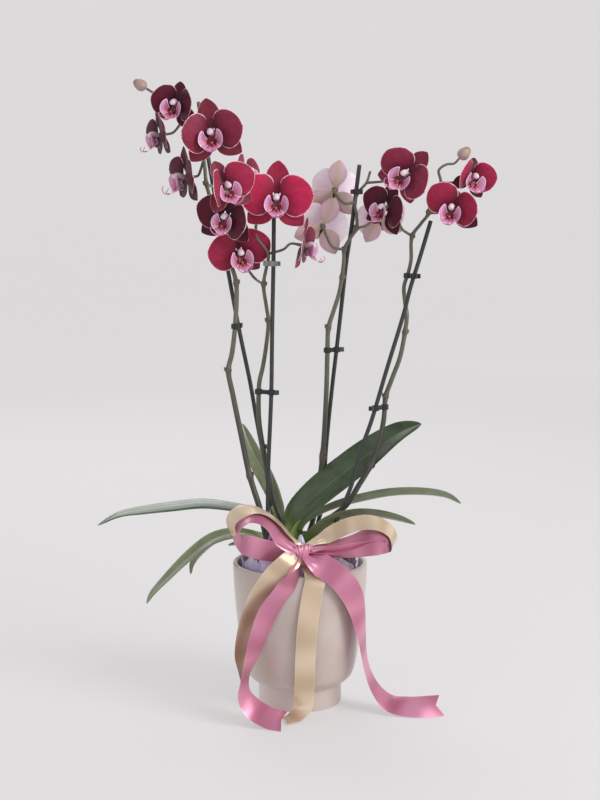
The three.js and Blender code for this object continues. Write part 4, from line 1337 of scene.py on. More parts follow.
SPIKES = (
    Spike(
        "spike_1",
        Route((
            (-32, -8, 168), (-36, -15, 184), (-42, -16, 212), (-53, -10, 247), (-62, -4, 289),
            (-70.6, 0, 331), (-75.3, 0, 358), (-71.5, 2, 376), (-68, 4, 406), (-67, 10, 449),
            (-72, 12, 467), (-82, 10, 499), (-91, 5, 530), (-97, 5, 552), (-100, 8, 577),
            (-108, 13, 597), (-122, 20, 619), (-134, 24, 633), (-147, 25, 642.5), (-160, 24, 650.5),
        )),
        (3.4, 1.3), (3, 6, 9, 11, 13, 15),
        (
            ("bloom_06", 11, None), ("bloom_05", 13, None), ("bloom_04", 14, None),
            ("bloom_03", 15, None), ("bloom_02", 16, None), ("bloom_01", 17, None),
        ),
    ),
    Spike(
        "spike_2",
        Route((
            (-24, -4, 168), (-19, -7, 184), (-19, -7, 198), (-26, -6, 215), (-34, -6, 250), (-39, -6, 276),
            (-43, -5, 304), (-43.6, -4, 327), (-42.6, -4, 346), (-39, -2, 362), (-35.4, 0, 384),
            (-33, 2, 410), (-35, 2, 424), (-38, 1, 448), (-34.5, 0, 468), (-33, -1, 480), (-45, -2, 498),
            (-45, -1, 515), (-42, 2, 530),
        )),
        (3.2, 1.4), (5, 11, 13, 16),
        (
            ("bloom_07", 13, (-50, 19, 456)), ("bloom_10", 15, (-18, 4, 484)),
            ("bloom_09", 18, None), ("bloom_08", 17, (-56, 33, 538)),
        ),
    ),
    Spike(
        "spike_3",
        Route((
            (3, 2, 168), (9, 8, 180), (14, 12, 195), (17, 13, 212), (24, 14, 264), (28, 14, 335),
            (29, 13, 378), (30, 12, 402), (34.5, 12, 417), (41, 11, 438), (44, 10, 455),
            (46, 10, 473), (46.5, 10, 484), (52, 10, 495), (59, 10, 506), (59, 10, 521), (57, 9, 533),
            (62, 8, 545), (69, 8, 553), (73, 8, 565),
        )),
        (3.1, 1.3), (4, 7, 10, 12, 14),
        (
            ("bloom_12", 12, (34, 4, 487)), ("bloom_17", 14, None), ("bloom_11", 16, (46, 4, 532)),
            ("bloom_14", 18, None),
        ),
    ),
    Spike(
        "spike_4",
        Route((
            (3, -8, 172), (10, -12, 186), (17, -14, 193), (32, -15, 203), (49, -15, 217), (62, -14, 238),
            (74, -12, 258), (82, -9, 279), (88, -7, 307), (90, -5, 331), (96, -3, 348), (105, 0, 372),
            (110, 2, 398), (112, 4, 416), (110, 6, 430), (109, 6, 446), (113, 6, 459), (116, 6, 473),
            (117, 6, 498), (126, 6, 511), (134, 6, 522), (135, 6, 539), (146, 6, 553),
            (144, 6, 566), (152, 7, 572), (160, 8, 573), (165, 8.2, 578),
        )),
        (3.3, 1.2), (6, 9, 12, 18, 20),
        (("bloom_13", 18, (106, 6, 506)), ("bloom_15", 20, None), ("bloom_16", 22, None)),
    ),
)
SPIKE = {spike.name: spike for spike in SPIKES}


@dataclass(frozen=True)
class Stake:
    """Thin support rod with a cut top."""

    name: str
    route: Route
    radius: float = 2.2

    def make(self) -> bpy.types.Object:
        """Build the stake."""
        maker = Maker(f"{self.name}_rod")
        steps = 9 * (len(self.route.points) - 1)
        rings = [(i / steps, self.radius) for i in range(steps + 1)]
        rings = [(0, 0), (0, self.radius * 0.8), *rings[1:-1], (1 - 0.2 / steps, self.radius)]
        rings += [(1, self.radius * 0.86), (1, 0)]
        maker.tube(
            self.route, rings, 12, 0, lambda s, a: 1 + 0.03 * math.cos(5 * a), lambda s: float(s >= 1),
        )
        return maker.done([STAKE], "stake", [self.name])


STAKES = (
    Stake("stake_1", Route((
        (-24, 24, 60), (-27, 22, 150), (-30, 20, 203), (-36, 18, 246), (-46, 15, 302), (-53, 13, 344),
        (-63, 14, 393), (-75, 20, 456), (-106, 26, 637),
    ))),
    Stake("stake_2", Route((
        (-35, -23, 60), (-35, -23, 150), (-34, -20, 201), (-33.5, -15, 250), (-30, -11, 336),
        (-29, -8, 401), (-27.5, -6, 474), (-27, -5, 520),
    ))),
    Stake("stake_3", Route((
        (14, 26, 60), (16, 25, 150), (19, 23, 188), (24, 22, 207), (28, 22, 271), (34, 20, 335),
        (40, 18, 389), (44, 17, 426), (49, 15, 473), (54, 14, 507), (62, 13, 572),
    ))),
    Stake("stake_4", Route((
        (20, -26, 60), (26, -26, 150), (35, -26, 192), (43, -25, 213), (54, -23, 240), (64, -20, 277),
        (75, -17, 308), (90, -13, 359), (108, -7, 418), (115, -4, 445), (125, -1, 477), (136, 3, 514),
    ))),
)
STAKE_BY_NAME = {stake.name: stake for stake in STAKES}


@dataclass(frozen=True)
class Clip:
    """Snap clip: a ring round a stake, a ring round a stem, the web between and two finger tabs."""

    name: str
    spike: str
    stake: str
    height: float
    length: float = 5.5
    wall: float = 1.6
    tab: float = 4.0
    slot: float = 0.3
    grey: float = 0.0

    def make(self) -> bpy.types.Object:
        """Build the clip."""
        maker = Maker(f"{self.name}_snap")
        spike, stake = SPIKE[self.spike], STAKE_BY_NAME[self.stake]
        on_stem, on_stake = spike.route.at_height(self.height), stake.route.at_height(self.height)
        across = (on_stem - on_stake).xy.to_3d()
        turn = Matrix.Rotation(math.atan2(across.y, across.x), 4, "Z")
        place = Matrix.Translation(on_stake) @ turn
        half = self.length / 2
        holes = (
            (0.0, stake.radius + self.slot), (across.length, mix(*spike.radii, 0.5) + self.slot),
        )
        for reach, bore in holes:
            self.ring(maker, Matrix.Translation((reach, 0, 0)), bore, half)
        start = holes[0][1] + self.wall * 0.4
        end = across.length - holes[1][1] - self.wall * 0.4
        if end > start:
            web = Matrix.Translation(((start + end) / 2, 0, 0)) @ Matrix.Diagonal((end - start, 3.4, 4.4, 1))
            maker.chunk(web, 0.4, 0, self.grey)
        back = holes[0][1] + self.wall * 0.5
        for hand in (1, -1):
            tip = Matrix.Translation((-back - self.tab / 2, 1.5 * hand, 0))
            tip @= Matrix.Rotation(-0.22 * hand, 4, "Z")
            maker.chunk(tip @ Matrix.Diagonal((self.tab + 1.6, 1.0, 4.8, 1)), 0.3, 0, max(self.grey, 0.12))
        bmesh.ops.transform(maker.mesh, matrix=place, verts=maker.mesh.verts)
        return maker.done([CLIP_FINISH], "clip", [self.name], 30)

    def ring(self, maker: Maker, place: Matrix, bore: float, half: float) -> None:
        """One ring of the clip, turned from its rounded section.

        Args:
            maker: the mesh that it goes in.
            place: where its axis stands.
            bore: radius of its hole.
            half: half its height.
        """
        soft = 0.45
        outer = bore + self.wall
        section = [
            (bore, -half + soft), (bore + soft, -half), (outer - soft, -half), (outer, -half + soft),
            (outer, half - soft), (outer - soft, half), (bore + soft, half), (bore, half - soft),
        ]
        faces = revolve(maker.mesh, section, 24, closed=True)
        made = list(dict.fromkeys(vert for face in faces for vert in face.verts))
        bmesh.ops.transform(maker.mesh, matrix=place, verts=made)
        for vert in made:
            vert[maker.tone] = self.grey


CLIPS = (
    Clip("clip_1", "spike_1", "stake_1", 404), Clip("clip_2", "spike_2", "stake_2", 336),
    Clip("clip_3", "spike_2", "stake_2", 470, grey=0.7), Clip("clip_4", "spike_3", "stake_3", 378),
    Clip("clip_5", "spike_3", "stake_3", 544), Clip("clip_6", "spike_4", "stake_4", 457),
    Clip("clip_7", "spike_4", "stake_4", 320),
)


@dataclass(frozen=True)
class Bud:
    """Closed bud with three blunt ridges, standing on the tip of its spike."""

    name: str
    spike: str
    length: float
    radius: float

    def make(self) -> bpy.types.Object:
        """Build the bud."""
        route = SPIKE[self.spike].route
        tip, way = route.place(1), route.tangent(1)
        start = tip + way * CLEARANCE
        middle = start + way * self.length / 2
        line = Route((tuple(start), tuple(middle), tuple(start + way * self.length)))
        rows = 18
        rings = []
        for i in range(rows + 1):
            level = -math.cos(math.pi * i / rows)
            girth = math.sin(math.pi * i / rows) ** 0.9 * (1 - 0.18 * level)
            rings.append(((level + 1) / 2, self.radius * girth))

        def ridges(share: float, angle: float) -> float:
            """Three blunt ridges with a seam beside each."""
            seam = math.exp(-((((angle * 3 / math.tau) % 1) - 0.5) / 0.06) ** 2)
            return 1 + 0.05 * math.cos(3 * angle) - 0.05 * seam * math.sin(math.pi * share)

        maker = Maker(f"{self.name}_closed")
        maker.tube(line, rings, 36, 0, ridges, lambda s: 0.7 * ease(0.7, 1.0, s) + 0.3 * ease(0.15, 0, s))
        return maker.done([BUD_FINISH], "bud", [self.name], 60)


BUDS = (Bud("bud_1", "spike_1", 15, 6), Bud("bud_2", "spike_4", 15, 6.3))


@dataclass(frozen=True)
class Leaf:
    """Long folded leaf: its route, greatest half width, fold and roll in degrees."""

    route: Route
    half: float
    fold: float
    roll: float
    foot: float = 9.0
    pale_up: bool = False
    thickness: float = 1.6
    rows: int = 44
    columns: int = 14

    def width(self, share: float) -> float:
        """Half width, with a wider clasping foot."""
        blade = self.half * math.sin(math.pi * mix(0.12, 1.0, share) ** 1.4) ** 0.62
        return mix(self.foot, blade, ease(0, 0.3, share))

    def add(self, maker: Maker, phase: float) -> None:
        """Add the leaf to its plant's mesh.

        Args:
            maker: the mesh that it goes in.
            phase: of its gentle waves.
        """
        turned = math.radians(self.roll)
        frames: dict[float, tuple[Vector, Vector, Vector, int]] = {}

        def frame_at(share: float) -> tuple[Vector, Vector, Vector, int]:
            """Middle, direction across, direction over and hand at a share of the leaf."""
            if share not in frames:
                tangent = self.route.tangent(share)
                level = Vector((tangent.x, tangent.y, 0)).normalized()
                side = Vector((-level.y, level.x, 0))
                side = (side - tangent * side.dot(tangent)).normalized()
                if side.y < 0:
                    side.negate()
                up = tangent.cross(side)
                if up.z < 0:
                    up.negate()
                across = side * math.cos(turned) + up * math.sin(turned)
                over = up * math.cos(turned) - side * math.sin(turned)
                hand = 1 if across.cross(tangent).dot(over) > 0 else -1
                frames[share] = (self.route.place(share), across, over, hand)
            return frames[share]

        def middle(s: float, t: float) -> Vector:
            """Place of a point of the leaf."""
            spot, across, over, hand = frame_at(s)
            width = self.width(s)
            crease = math.sqrt(t * t + 0.004) - 0.063
            fold = mix(48, self.fold, ease(0, 0.22, s)) if self.fold > 0 else self.fold
            folded = math.tan(math.radians(fold))
            wave = 0.5 * t * t * math.sin(9 * s + phase + (1.4 if t > 0 else 0)) * ease(0.1, 0.4, s)
            groove = -0.35 * math.exp(-((t * width) / 1.1) ** 2)
            return spot + across * (width * t * hand) + over * (width * crease * folded + wave + groove)

        def flat(s: float, t: float) -> Vector:
            """Flat map of the leaf."""
            return Vector((self.width(s) * t, 200 * s, 0))

        maker.blade(
            self.rows, self.columns, middle, self.thickness, (1, 0) if self.pale_up else (0, 1), flat,
            lambda s, t: (1 - abs(t)) * self.width(s), lambda s, t: 0.9 * ease(0.34, 0.04, s),
        )


@dataclass(frozen=True)
class Plant:
    """One rosette: a short stem and the leaves that clasp it."""

    name: str
    stem: Route
    leaves: tuple[Leaf, ...]
    radius: float = 8.5

    def make(self) -> bpy.types.Object:
        """Build the rosette."""
        maker = Maker(f"{self.name}_leaves")
        rings = [(i / 16, self.radius * (1 - 0.25 * ease(0.75, 1, i / 16))) for i in range(17)]
        maker.tube(
            self.stem, [(0, 0), *rings, (1, 0)], 20, 1, lambda s, a: 1 + 0.05 * math.sin(2 * a + 14 * s),
            lambda s: 0.8,
        )
        for index, leaf in enumerate(self.leaves):
            leaf.add(maker, 1.7 * index)
        return maker.done(LEAF_FACES, "leaf", [self.name], 70)


PLANTS = (
    Plant("plant_left", Route(((-29, -2, 112), (-29, -2, 140), (-28, -2, 176))), (
        Leaf(Route((
            (-27, -1, 176), (-30, 4, 196), (-50, 8, 206), (-76, 12, 211), (-104, 15, 213.5),
            (-136, 16, 210), (-166, 15, 206), (-195, 12, 201), (-217, 8, 190),
        )), 13, -4, 13),
        Leaf(Route((
            (-27, -2, 164), (-36, -5, 177), (-53, -9, 184), (-72, -12, 185), (-93, -15, 179),
            (-116, -17, 162), (-140, -18, 139), (-157, -18, 121), (-163, -18, 111),
        )), 12, 8, 19, pale_up=True),
        Leaf(Route((
            (-28, 0, 158), (-42, 15, 172), (-65, 24, 177), (-89, 30, 168), (-107, 33, 154),
            (-116, 34, 142), (-119.5, 34, 130),
        )), 11, 14, -20),
        Leaf(Route(((-28, 2, 150), (-44, 5, 164), (-60, 6, 170), (-77, 6, 169))), 7, 20, 0),
        Leaf(Route((
            (-27, 0, 170), (-20, 12, 192), (-25, 20, 215), (-35, 30, 236), (-45.5, 38, 254),
            (-55.5, 45, 275), (-63, 50, 294),
        )), 9.5, 24, 66, pale_up=True),
    )),
    Plant("plant_right", Route(((-3, -3, 112), (-3, -3, 140), (-3, -3, 178))), (
        Leaf(Route((
            (-4, -3, 172), (-7, -3, 187), (-2, -2, 204), (18, 0, 225), (54, 4, 253), (82, 6, 274),
            (106, 4, 291), (128, 0, 301),
        )), 20, 12, 42, 13),
        Leaf(Route((
            (-3, -3, 166), (4, -2, 192), (18, -1, 203), (36, 0, 211), (64, 1, 218.5), (101, 2, 225),
            (139, 6, 224.5), (158, 8, 221), (172, 8, 214),
        )), 13, 14, -30, 12),
        Leaf(Route((
            (-2, -4, 160), (12, -14, 181), (23, -20, 193), (36, -23, 202), (58, -24, 208),
            (80, -24, 208), (102, -24, 204), (121, -24, 198),
        )), 13, 12, -32, 12),
    )),
)


@dataclass(frozen=True)
class Run:
    """One loop or tail of a ribbon: its middle line and its direction across at each point."""

    line: Route
    across: Route
    gather: float
    tail: bool = False
    rows: int = 84


@dataclass(frozen=True)
class Ribbon:
    """Satin ribbon: two loops and two tails that meet in a knot."""

    name: str
    finish: SatinFinish
    slot: str
    width: float
    knot: Point
    knot_size: Point
    runs: tuple[Run, ...]
    rests_on: tuple[str, ...]
    thickness: float = 0.45
    notch: float = 0.02
    knot_length: float = 60.0
    columns: int = 12

    def band(self, maker: Maker, run: Run, phase: float) -> None:
        """One loop or tail.

        Args:
            maker: the mesh that it goes in.
            run: its line and directions.
            phase: of its gentle waves.
        """
        frames: dict[float, tuple[Vector, Vector, Vector]] = {}
        length = run.line.length()

        def frame_at(share: float) -> tuple[Vector, Vector, Vector]:
            """Middle, direction across and direction out at a share of the run."""
            if share not in frames:
                tangent = run.line.tangent(share)
                side = run.across.place(share)
                side = (side - tangent * side.dot(tangent)).normalized()
                frames[share] = (run.line.place(share), side, tangent.cross(side))
            return frames[share]

        def gathered(share: float) -> float:
            """0 at the knot and 1 away from it."""
            return min(1.0, (share if run.tail else min(share, 1 - share)) / 0.12)

        def middle(s: float, t: float) -> Vector:
            """Place of a point of the band."""
            end = s * (1 - self.notch * (1 - abs(t)) * s ** 12) if run.tail else s
            spot, side, out = frame_at(round(end, 5))
            loose = gathered(s)
            half = self.width / 2 * mix(run.gather, 1, loose)
            pleat = (1 - ease(0, 1, loose)) * 1.5 * math.cos(3 * math.pi * t + phase)
            bow = 1.1 * (1 - t * t) * (0.5 + 0.5 * math.sin(11 * s + phase))
            return spot + side * (half * t) + out * (pleat + bow)

        def flat(s: float, t: float) -> Vector:
            """Flat map of the band."""
            return Vector((self.width / 2 * t, length * s, 0))

        def rim(s: float, t: float) -> float:
            """Distance from the woven edge."""
            return (1 - abs(t)) * self.width / 2

        maker.blade(run.rows, self.columns, middle, self.thickness, (0, 0), flat, rim, None, False)

    def tie(self, maker: Maker) -> None:
        """Short turns of ribbon round the middle of the bow."""
        x, y, z = self.knot
        wide, deep, tall = self.knot_size
        for lean, grow, shift in ((0.22, 1.0, 1.2), (-0.3, 0.86, -1.6)):
            ring = []
            for index in range(13):
                angle = math.tau * index / 12
                ring.append((
                    x + shift + lean * tall * math.cos(angle), y - deep * grow * math.sin(angle),
                    z + tall * grow * math.cos(angle),
                ))
            loop = Route(tuple(ring))
            half = wide * 0.62 * grow

            def middle(s: float, t: float, loop: Route = loop, half: float = half) -> Vector:
                """Place of a point of the turn."""
                spot = loop.place(s)
                out = (spot - Vector(self.knot)).normalized()
                pleat = 0.7 * math.cos(2.6 * math.pi * t + 2 * s)
                crown = 1.1 * (1 - t * t)
                return spot + Vector((half * t, 0, 0.12 * half * t)) + out * (pleat + crown)

            maker.blade(
                36, 12, middle, self.thickness, (0, 0), lambda s, t: Vector((10 * t, 50 * s, 0)),
                lambda s, t: (1 - abs(t)) * 10, None, False,
            )

    def make(self) -> bpy.types.Object:
        maker = Maker(f"{self.name}_satin")
        for index, run in enumerate(self.runs):
            self.band(maker, run, 1.3 * index)
        self.tie(maker)
        piece = maker.done([self.finish], self.slot, [self.name], 70)
        length = sum(run.line.length() for run in self.runs) + self.knot_length
        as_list(self.rests_on)
        return piece


RIBBONS = (
    Ribbon("ribbon_pink", PINK, "ribbon_pink", 25, (3, -69, 178), (8.5, 5, 8), (
        Run(
            Route((
                (0, -68, 181), (-10, -67, 184), (-20.5, -66, 193.5), (-29.5, -66, 206), (-40.5, -66, 214),
                (-51.5, -66, 215.3), (-59.5, -67, 211), (-64, -67, 205), (-65, -68, 197), (-63, -69.5, 191),
                (-57.5, -71, 187.5), (-49, -72, 185), (-38, -72, 182), (-26, -71, 179.5),
                (-13, -70, 178), (0, -69, 178),
            )),
            Route((
                (-0.2, -0.8, -0.5), (-0.36, -0.85, -0.3), (-0.36, -0.85, -0.3), (-0.25, -0.92, -0.25),
                (-0.1, -0.93, -0.34), (0.05, -0.93, -0.36), (0.2, -0.93, -0.3), (0.32, -0.94, -0.08),
                (0.36, -0.93, 0.05), (0.36, -0.8, 0.45), (0.22, -0.45, 0.85), (0.1, -0.28, 0.95),
                (0.05, -0.28, 0.95), (0, -0.4, 0.9), (0, -0.6, 0.75), (0, -0.8, 0.5),
            )),
            0.45,
        ),
        Run(
            Route((
                (5, -69, 180), (20, -67, 182), (40, -66, 184), (55.5, -66, 189), (68, -66, 194.5),
                (78, -66, 196.5), (85.5, -66, 196), (90, -66.5, 192.5), (91, -67, 187.5), (89, -68, 184),
                (82, -69, 183.5), (73, -70, 183), (60, -70, 181.5), (41, -70, 179.5), (22, -69, 179),
                (5, -69, 178),
            )),
            Route((
                (0, -0.95, -0.2), (0, -0.88, -0.4), (0, -0.88, -0.42), (0.05, -0.88, -0.42),
                (0.1, -0.88, -0.42), (0, -0.9, -0.42), (-0.25, -0.9, -0.3), (-0.42, -0.9, -0.05),
                (-0.42, -0.88, 0.2), (-0.3, -0.76, 0.55), (-0.12, -0.64, 0.75), (-0.05, -0.62, 0.78),
                (0, -0.62, 0.78), (0, -0.72, 0.66), (0, -0.85, 0.45), (0, -0.95, 0.2),
            )),
            0.45,
        ),
        Run(
            Route((
                (2, -70, 177), (-2, -75, 166), (-6, -79.5, 156), (-15, -81.5, 144), (-31, -78.5, 121),
                (-41, -75, 96), (-49, -74, 70), (-56.5, -75.5, 47), (-56.5, -79, 30), (-46, -84, 17),
                (-30, -89, 9.5), (-16, -93, 8),
            )),
            Route((
                (0.3, 0.9, 0), (0.35, 0.9, 0), (0.62, 0.75, 0.15), (0.88, 0.38, 0.3), (0.9, 0.42, 0.15),
                (0.8, 0.58, 0.15), (0.62, 0.77, 0.1), (0.35, 0.93, 0.1), (0.42, 0.87, 0.25),
                (0.52, 0.68, 0.5),
                (0.48, 0.65, 0.6), (0.35, 0.72, 0.6),
            )),
            0.4, True,
        ),
        Run(
            Route((
                (5, -70, 177), (13, -77, 172), (24, -78.5, 166), (38, -74, 155), (49, -66, 141),
                (57, -56, 124), (61.5, -50, 106), (65, -44, 84), (67, -40, 66), (70, -38, 48), (76, -38, 31),
                (84, -40, 19), (95, -45, 11), (110, -50, 9), (127, -52, 9), (149, -48, 9.5),
            )),
            Route((
                (0.5, 0.8, 0.2), (0.7, 0.4, 0.4), (0.93, 0.13, 0.35), (0.88, 0.1, 0.47),
                (0.77, 0.2, 0.64), (0.64, 0.45, 0.6), (0.5, 0.7, 0.5), (0.35, 0.9, 0.2), (0.25, 0.96, 0.1),
                (0.2, 0.97, 0.14), (0.22, 0.95, 0.2), (0.24, 0.93, 0.28), (0.2, 0.88, 0.45),
                (0.25, 0.75, 0.6), (0.25, 0.7, 0.65), (0, 0.77, 0.64),
            )),
            0.4, True,
        ),
    ), ("pot",)),
    Ribbon("ribbon_champagne", CHAMPAGNE, "ribbon_champagne", 21, (1, -55, 177), (8, 5, 7), (
        Run(
            Route((
                (2, -55, 181), (-5, -54, 187), (-13, -54, 196), (-21, -54, 205.5), (-34, -55, 216),
                (-47.5, -56, 220.5), (-60, -59, 219), (-69, -61, 212.5), (-71, -62, 205), (-67, -60, 194),
                (-58, -57, 185), (-48, -56, 180), (-34, -54, 177), (-18, -53, 176), (0, -54, 177),
            )),
            Route((
                (0, -0.98, 0.1), (-0.03, -0.98, 0.08), (-0.03, -0.98, 0.06), (-0.03, -0.98, 0.05),
                (0, -0.98, 0), (0.05, -0.95, -0.2), (0.22, -0.84, -0.45), (0.4, -0.83, -0.35),
                (0.45, -0.88, -0.08), (0.42, -0.9, 0), (0.1, -0.95, -0.2), (0, -0.97, -0.2),
                (0, -0.98, -0.2), (0, -0.98, -0.1), (0, -0.98, -0.1),
            )),
            0.45,
        ),
        Run(
            Route((
                (2, -55, 180), (17, -55, 187.5), (28, -56, 193), (38, -57, 198.5), (48, -58, 203),
                (58, -59, 206.5), (68, -59.5, 208), (78, -60, 207), (87.5, -60, 203), (94.5, -59.5, 196.5),
                (97, -57, 188), (96, -50, 180.5), (88, -45, 174), (72, -44, 171.5), (48, -46, 171),
                (25, -49, 173), (2, -54, 176),
            )),
            Route((
                (0, -0.97, -0.1), (0.15, -0.93, -0.3), (0.3, -0.82, -0.48), (0.32, -0.78, -0.54),
                (0.25, -0.78, -0.57), (0.12, -0.8, -0.58), (0, -0.82, -0.57), (-0.12, -0.85, -0.5),
                (-0.3, -0.88, -0.35), (-0.4, -0.9, -0.12), (-0.3, -0.95, 0), (-0.1, -0.98, 0.1),
                (0, -1, 0.05), (0, -1, 0), (0, -1, 0), (0, -1, 0), (0, -1, -0.1),
            )),
            0.45,
        ),
        Run(
            Route((
                (2, -62, 178), (-6, -76, 174.5), (-15, -82.5, 168.5), (-26, -82, 158), (-37.5, -75, 141),
                (-48, -66, 121), (-55, -62, 99), (-61, -61, 70), (-60.5, -61, 53), (-57, -63, 38),
                (-53, -67, 19), (-40, -72, 9),
            )),
            Route((
                (0.5, -0.5, -0.6), (0.6, -0.3, -0.65), (0.7, -0.15, -0.65), (0.8, 0, -0.5),
                (0.95, 0.1, -0.3), (0.85, 0.45, -0.15), (0.8, 0.55, -0.15), (0.6, 0.78, -0.12),
                (0.3, 0.95, 0),
                (0.2, 0.95, 0.2), (0.4, 0.78, 0.45), (0.5, 0.6, 0.6),
            )),
            0.5, True,
        ),
        Run(
            Route((
                (2, -56, 174), (9, -63, 166), (14, -70.5, 158), (15.5, -73.4, 150), (13, -74, 138),
                (8, -74, 104), (5.5, -71.5, 66), (4.5, -66, 32), (2, -64, 12), (-6, -70, 4), (-18, -76, 2),
            )),
            Route((
                (0.8, -0.5, -0.3), (0.9, -0.3, -0.4), (0.95, 0, -0.4), (0.95, 0, -0.3), (1, 0, -0.15),
                (1, 0, 0), (1, 0, 0), (1, 0, 0), (0.9, -0.4, 0), (0.75, -0.65, 0), (0.5, -0.85, 0),
            )),
            0.5, True,
        ),
    ), ("pot",)),
)


@dataclass(frozen=True)
class Pot:
    """Glazed pot: a tapering cup on a narrower foot, with a ledge inside."""

    rim_radius: float = 71.6
    height: float = 153.8
    wall: float = 5.0
    lip: float = 2.4
    foot_radius: float = 44.5
    foot_height: float = 24.0
    floor: float = 6.0
    ledge: float = 30.0
    ledge_inner: float = 40.5

    def make(self) -> bpy.types.Object:
        """Build the pot."""
        foot, height, rim = self.foot_radius, self.height, self.rim_radius
        side = Route(tuple((radius, 0, z) for radius, z in (
            (51, 26.5), (56, 32), (59.5, 42), (62.5, 58), (66.8, 86), (70, 119), (rim, height - self.lip),
        )))
        outer = [side.place(i / 30) for i in range(31)]
        middle, edge = rim - self.wall / 2, height - self.lip
        brim = [
            (middle + self.wall / 2 * math.cos(angle), edge + self.lip * math.sin(angle))
            for angle in (math.pi * i / 10 for i in range(1, 10))
        ]
        shelf = self.foot_height
        profile = [
            (0, 0.8), (foot - 6, 0.8), (foot - 5, 0), (foot - 2.2, 0), (foot - 0.6, 0.6), (foot, 2.2),
            (foot, shelf - 2), (foot + 0.3, shelf - 0.6), (foot + 1.4, shelf + 0.6), (47.5, shelf + 1.2),
            (49.6, shelf + 1.8), *[(spot.x, spot.z) for spot in outer], *brim, (rim - self.wall, edge),
            (64.2, 105), (61.8, 86), (55, 46), (50, self.ledge), (self.ledge_inner, self.ledge),
            (foot - self.wall, self.floor), (0, self.floor),
        ]
        maker = Maker("pot_glazed")
        maker.lathe(profile, 96)
        for vert in maker.mesh.verts:
            vert[maker.tone] = 0.55 * ease(30, 22, vert.co.z) * ease(40, 44, vert.co.xy.length)
        return maker.done([GLAZE], "pot", ["pot"], 35)


@dataclass(frozen=True)
class GrowingPot:
    """Plastic growing pot that stands on the ledge."""

    base: float = 30.3
    height: float = 112.0
    base_radius: float = 46.0
    top_radius: float = 57.5
    wall: float = 1.4
    lip: float = 2.4
    lip_height: float = 5.0

    def make(self) -> bpy.types.Object:
        """Build the growing pot."""
        base, foot, wall = self.base, self.base_radius, self.wall
        top = base + self.height
        under = top - self.lip_height
        inner, outer = self.top_radius - wall, self.top_radius + self.lip
        maker = Maker("growing_pot")
        maker.lathe([
            (0, base), (foot - 1, base), (foot, base + 1), (self.top_radius, under),
            (outer - 0.4, under + 0.3), (outer, under + 0.8), (outer, top - 0.6), (outer - 0.6, top),
            (inner + 0.5, top), (inner, top - 0.6), (inner, under), (foot - wall, base + wall),
            (0, base + wall),
        ], 80)
        return maker.done([PLASTIC], "nursery_pot", ["nursery_pot"], 35)


@dataclass(frozen=True)
class BarkMix:
    """Bark mix in the growing pot: a filled core with loose chips on top."""

    low: float = 32.0
    foot: float = 44.1
    rim: float = 55.0
    top: float = 131.5
    chips: int = 210
    seed: int = 11

    def make(self) -> bpy.types.Object:
        """Build the bark mix."""
        draw = random.Random(self.seed)
        maker = Maker("bark_chips")
        maker.lathe([(0, self.low), (self.foot, self.low), (self.rim, self.top), (0, self.top)], 40)
        for _ in range(self.chips):
            reach = (self.rim - 4) * math.sqrt(draw.random())
            angle = draw.uniform(0, math.tau)
            level = self.top + draw.uniform(-1, 1.8)
            place = Matrix.Translation((reach * math.cos(angle), reach * math.sin(angle), level))
            place @= Matrix.Rotation(draw.uniform(0, math.tau), 4, "Z")
            place @= Matrix.Rotation(draw.gauss(0, 0.35), 4, "X")
            size = Matrix.Diagonal((draw.uniform(4, 11), draw.uniform(3, 7), draw.uniform(1.5, 3.4), 1))
            place @= Matrix.Rotation(draw.gauss(0, 0.3), 4, "Y")
            maker.chunk(place @ size, 0.5, 0, draw.random() ** 2)
        return maker.done([BARK], "bark_medium", ["bark_medium"], 30)


@dataclass(frozen=True)
class Tissue:
    """Crumpled tissue between the growing pot and the pot, standing above the rim."""

    low: float = 130.0
    radius: float = 62.3
    crest: float = 156.0
    ruffle: float = 7.0
    front_rise: float = 7.0
    front_lean: float = -5.0
    thickness: float = 0.5
    flat_height: float = 34.0
    rows: int = 22
    columns: int = 300
    peaks: tuple[tuple[float, float, float], ...] = (
        (342, 8, -12), (194, 7, -12), (212, 9, 6), (234, 6, 36), (246, 4, 32), (271, 9, 25), (312, 11, 8),
    )

    def make(self) -> bpy.types.Object:
        def crumple(angle: float, height: float, scale: float) -> float:
            """Sharp-creased unevenness from -1 to 1."""
            spot = Vector((math.cos(angle), math.sin(angle), height * 0.35)) * scale
            return 1 - 2 * abs(noise.noise(spot)) * 2.2

        def middle(s: float, t: float) -> Vector:
            """Place of a point of the tissue."""
            angle = math.pi * t
            front = max(0.0, -math.sin(angle)) ** 8
            around = Vector((math.cos(angle), math.sin(angle), 3))
            ruffled = self.ruffle * (0.5 + 0.5 * noise.noise(around * 3.1))
            bearing = math.degrees(angle) % 360
            rise = sum(
                tall * math.exp(-((bearing - way) / wide) ** 2) for way, wide, tall in self.peaks
            )
            top = self.crest + ruffled + self.front_rise * front + rise
            lean = -2.2 + 1.8 * crumple(angle, 0, 4.2) + self.front_lean * front - 0.3 * max(0.0, rise)
            free = ease(0.3, 1, s)
            reach = self.radius + 0.6 * math.sin(36 * angle) * (1 - free) + lean * s ** 3
            reach += free * 0.9 * (crumple(angle, s, 7) + 0.5 * crumple(angle + 2, s * 2, 15)) - 0.6 * free
            height = mix(self.low, top, s) + 0.8 * free * crumple(angle + 1, s, 12)
            return Vector((reach * math.cos(angle), reach * math.sin(angle), height))

        def flat(s: float, t: float) -> Vector:
            """Flat map of the tissue."""
            return Vector((math.pi * self.radius * t, 30 * s, 0))

        maker = Maker("tissue_crumpled")
        maker.blade(self.rows, self.columns, middle, self.thickness, (0, 0), flat, None, None, False)
        piece = maker.done([TISSUE], "wrap", ["wrap"], 25)
        return piece


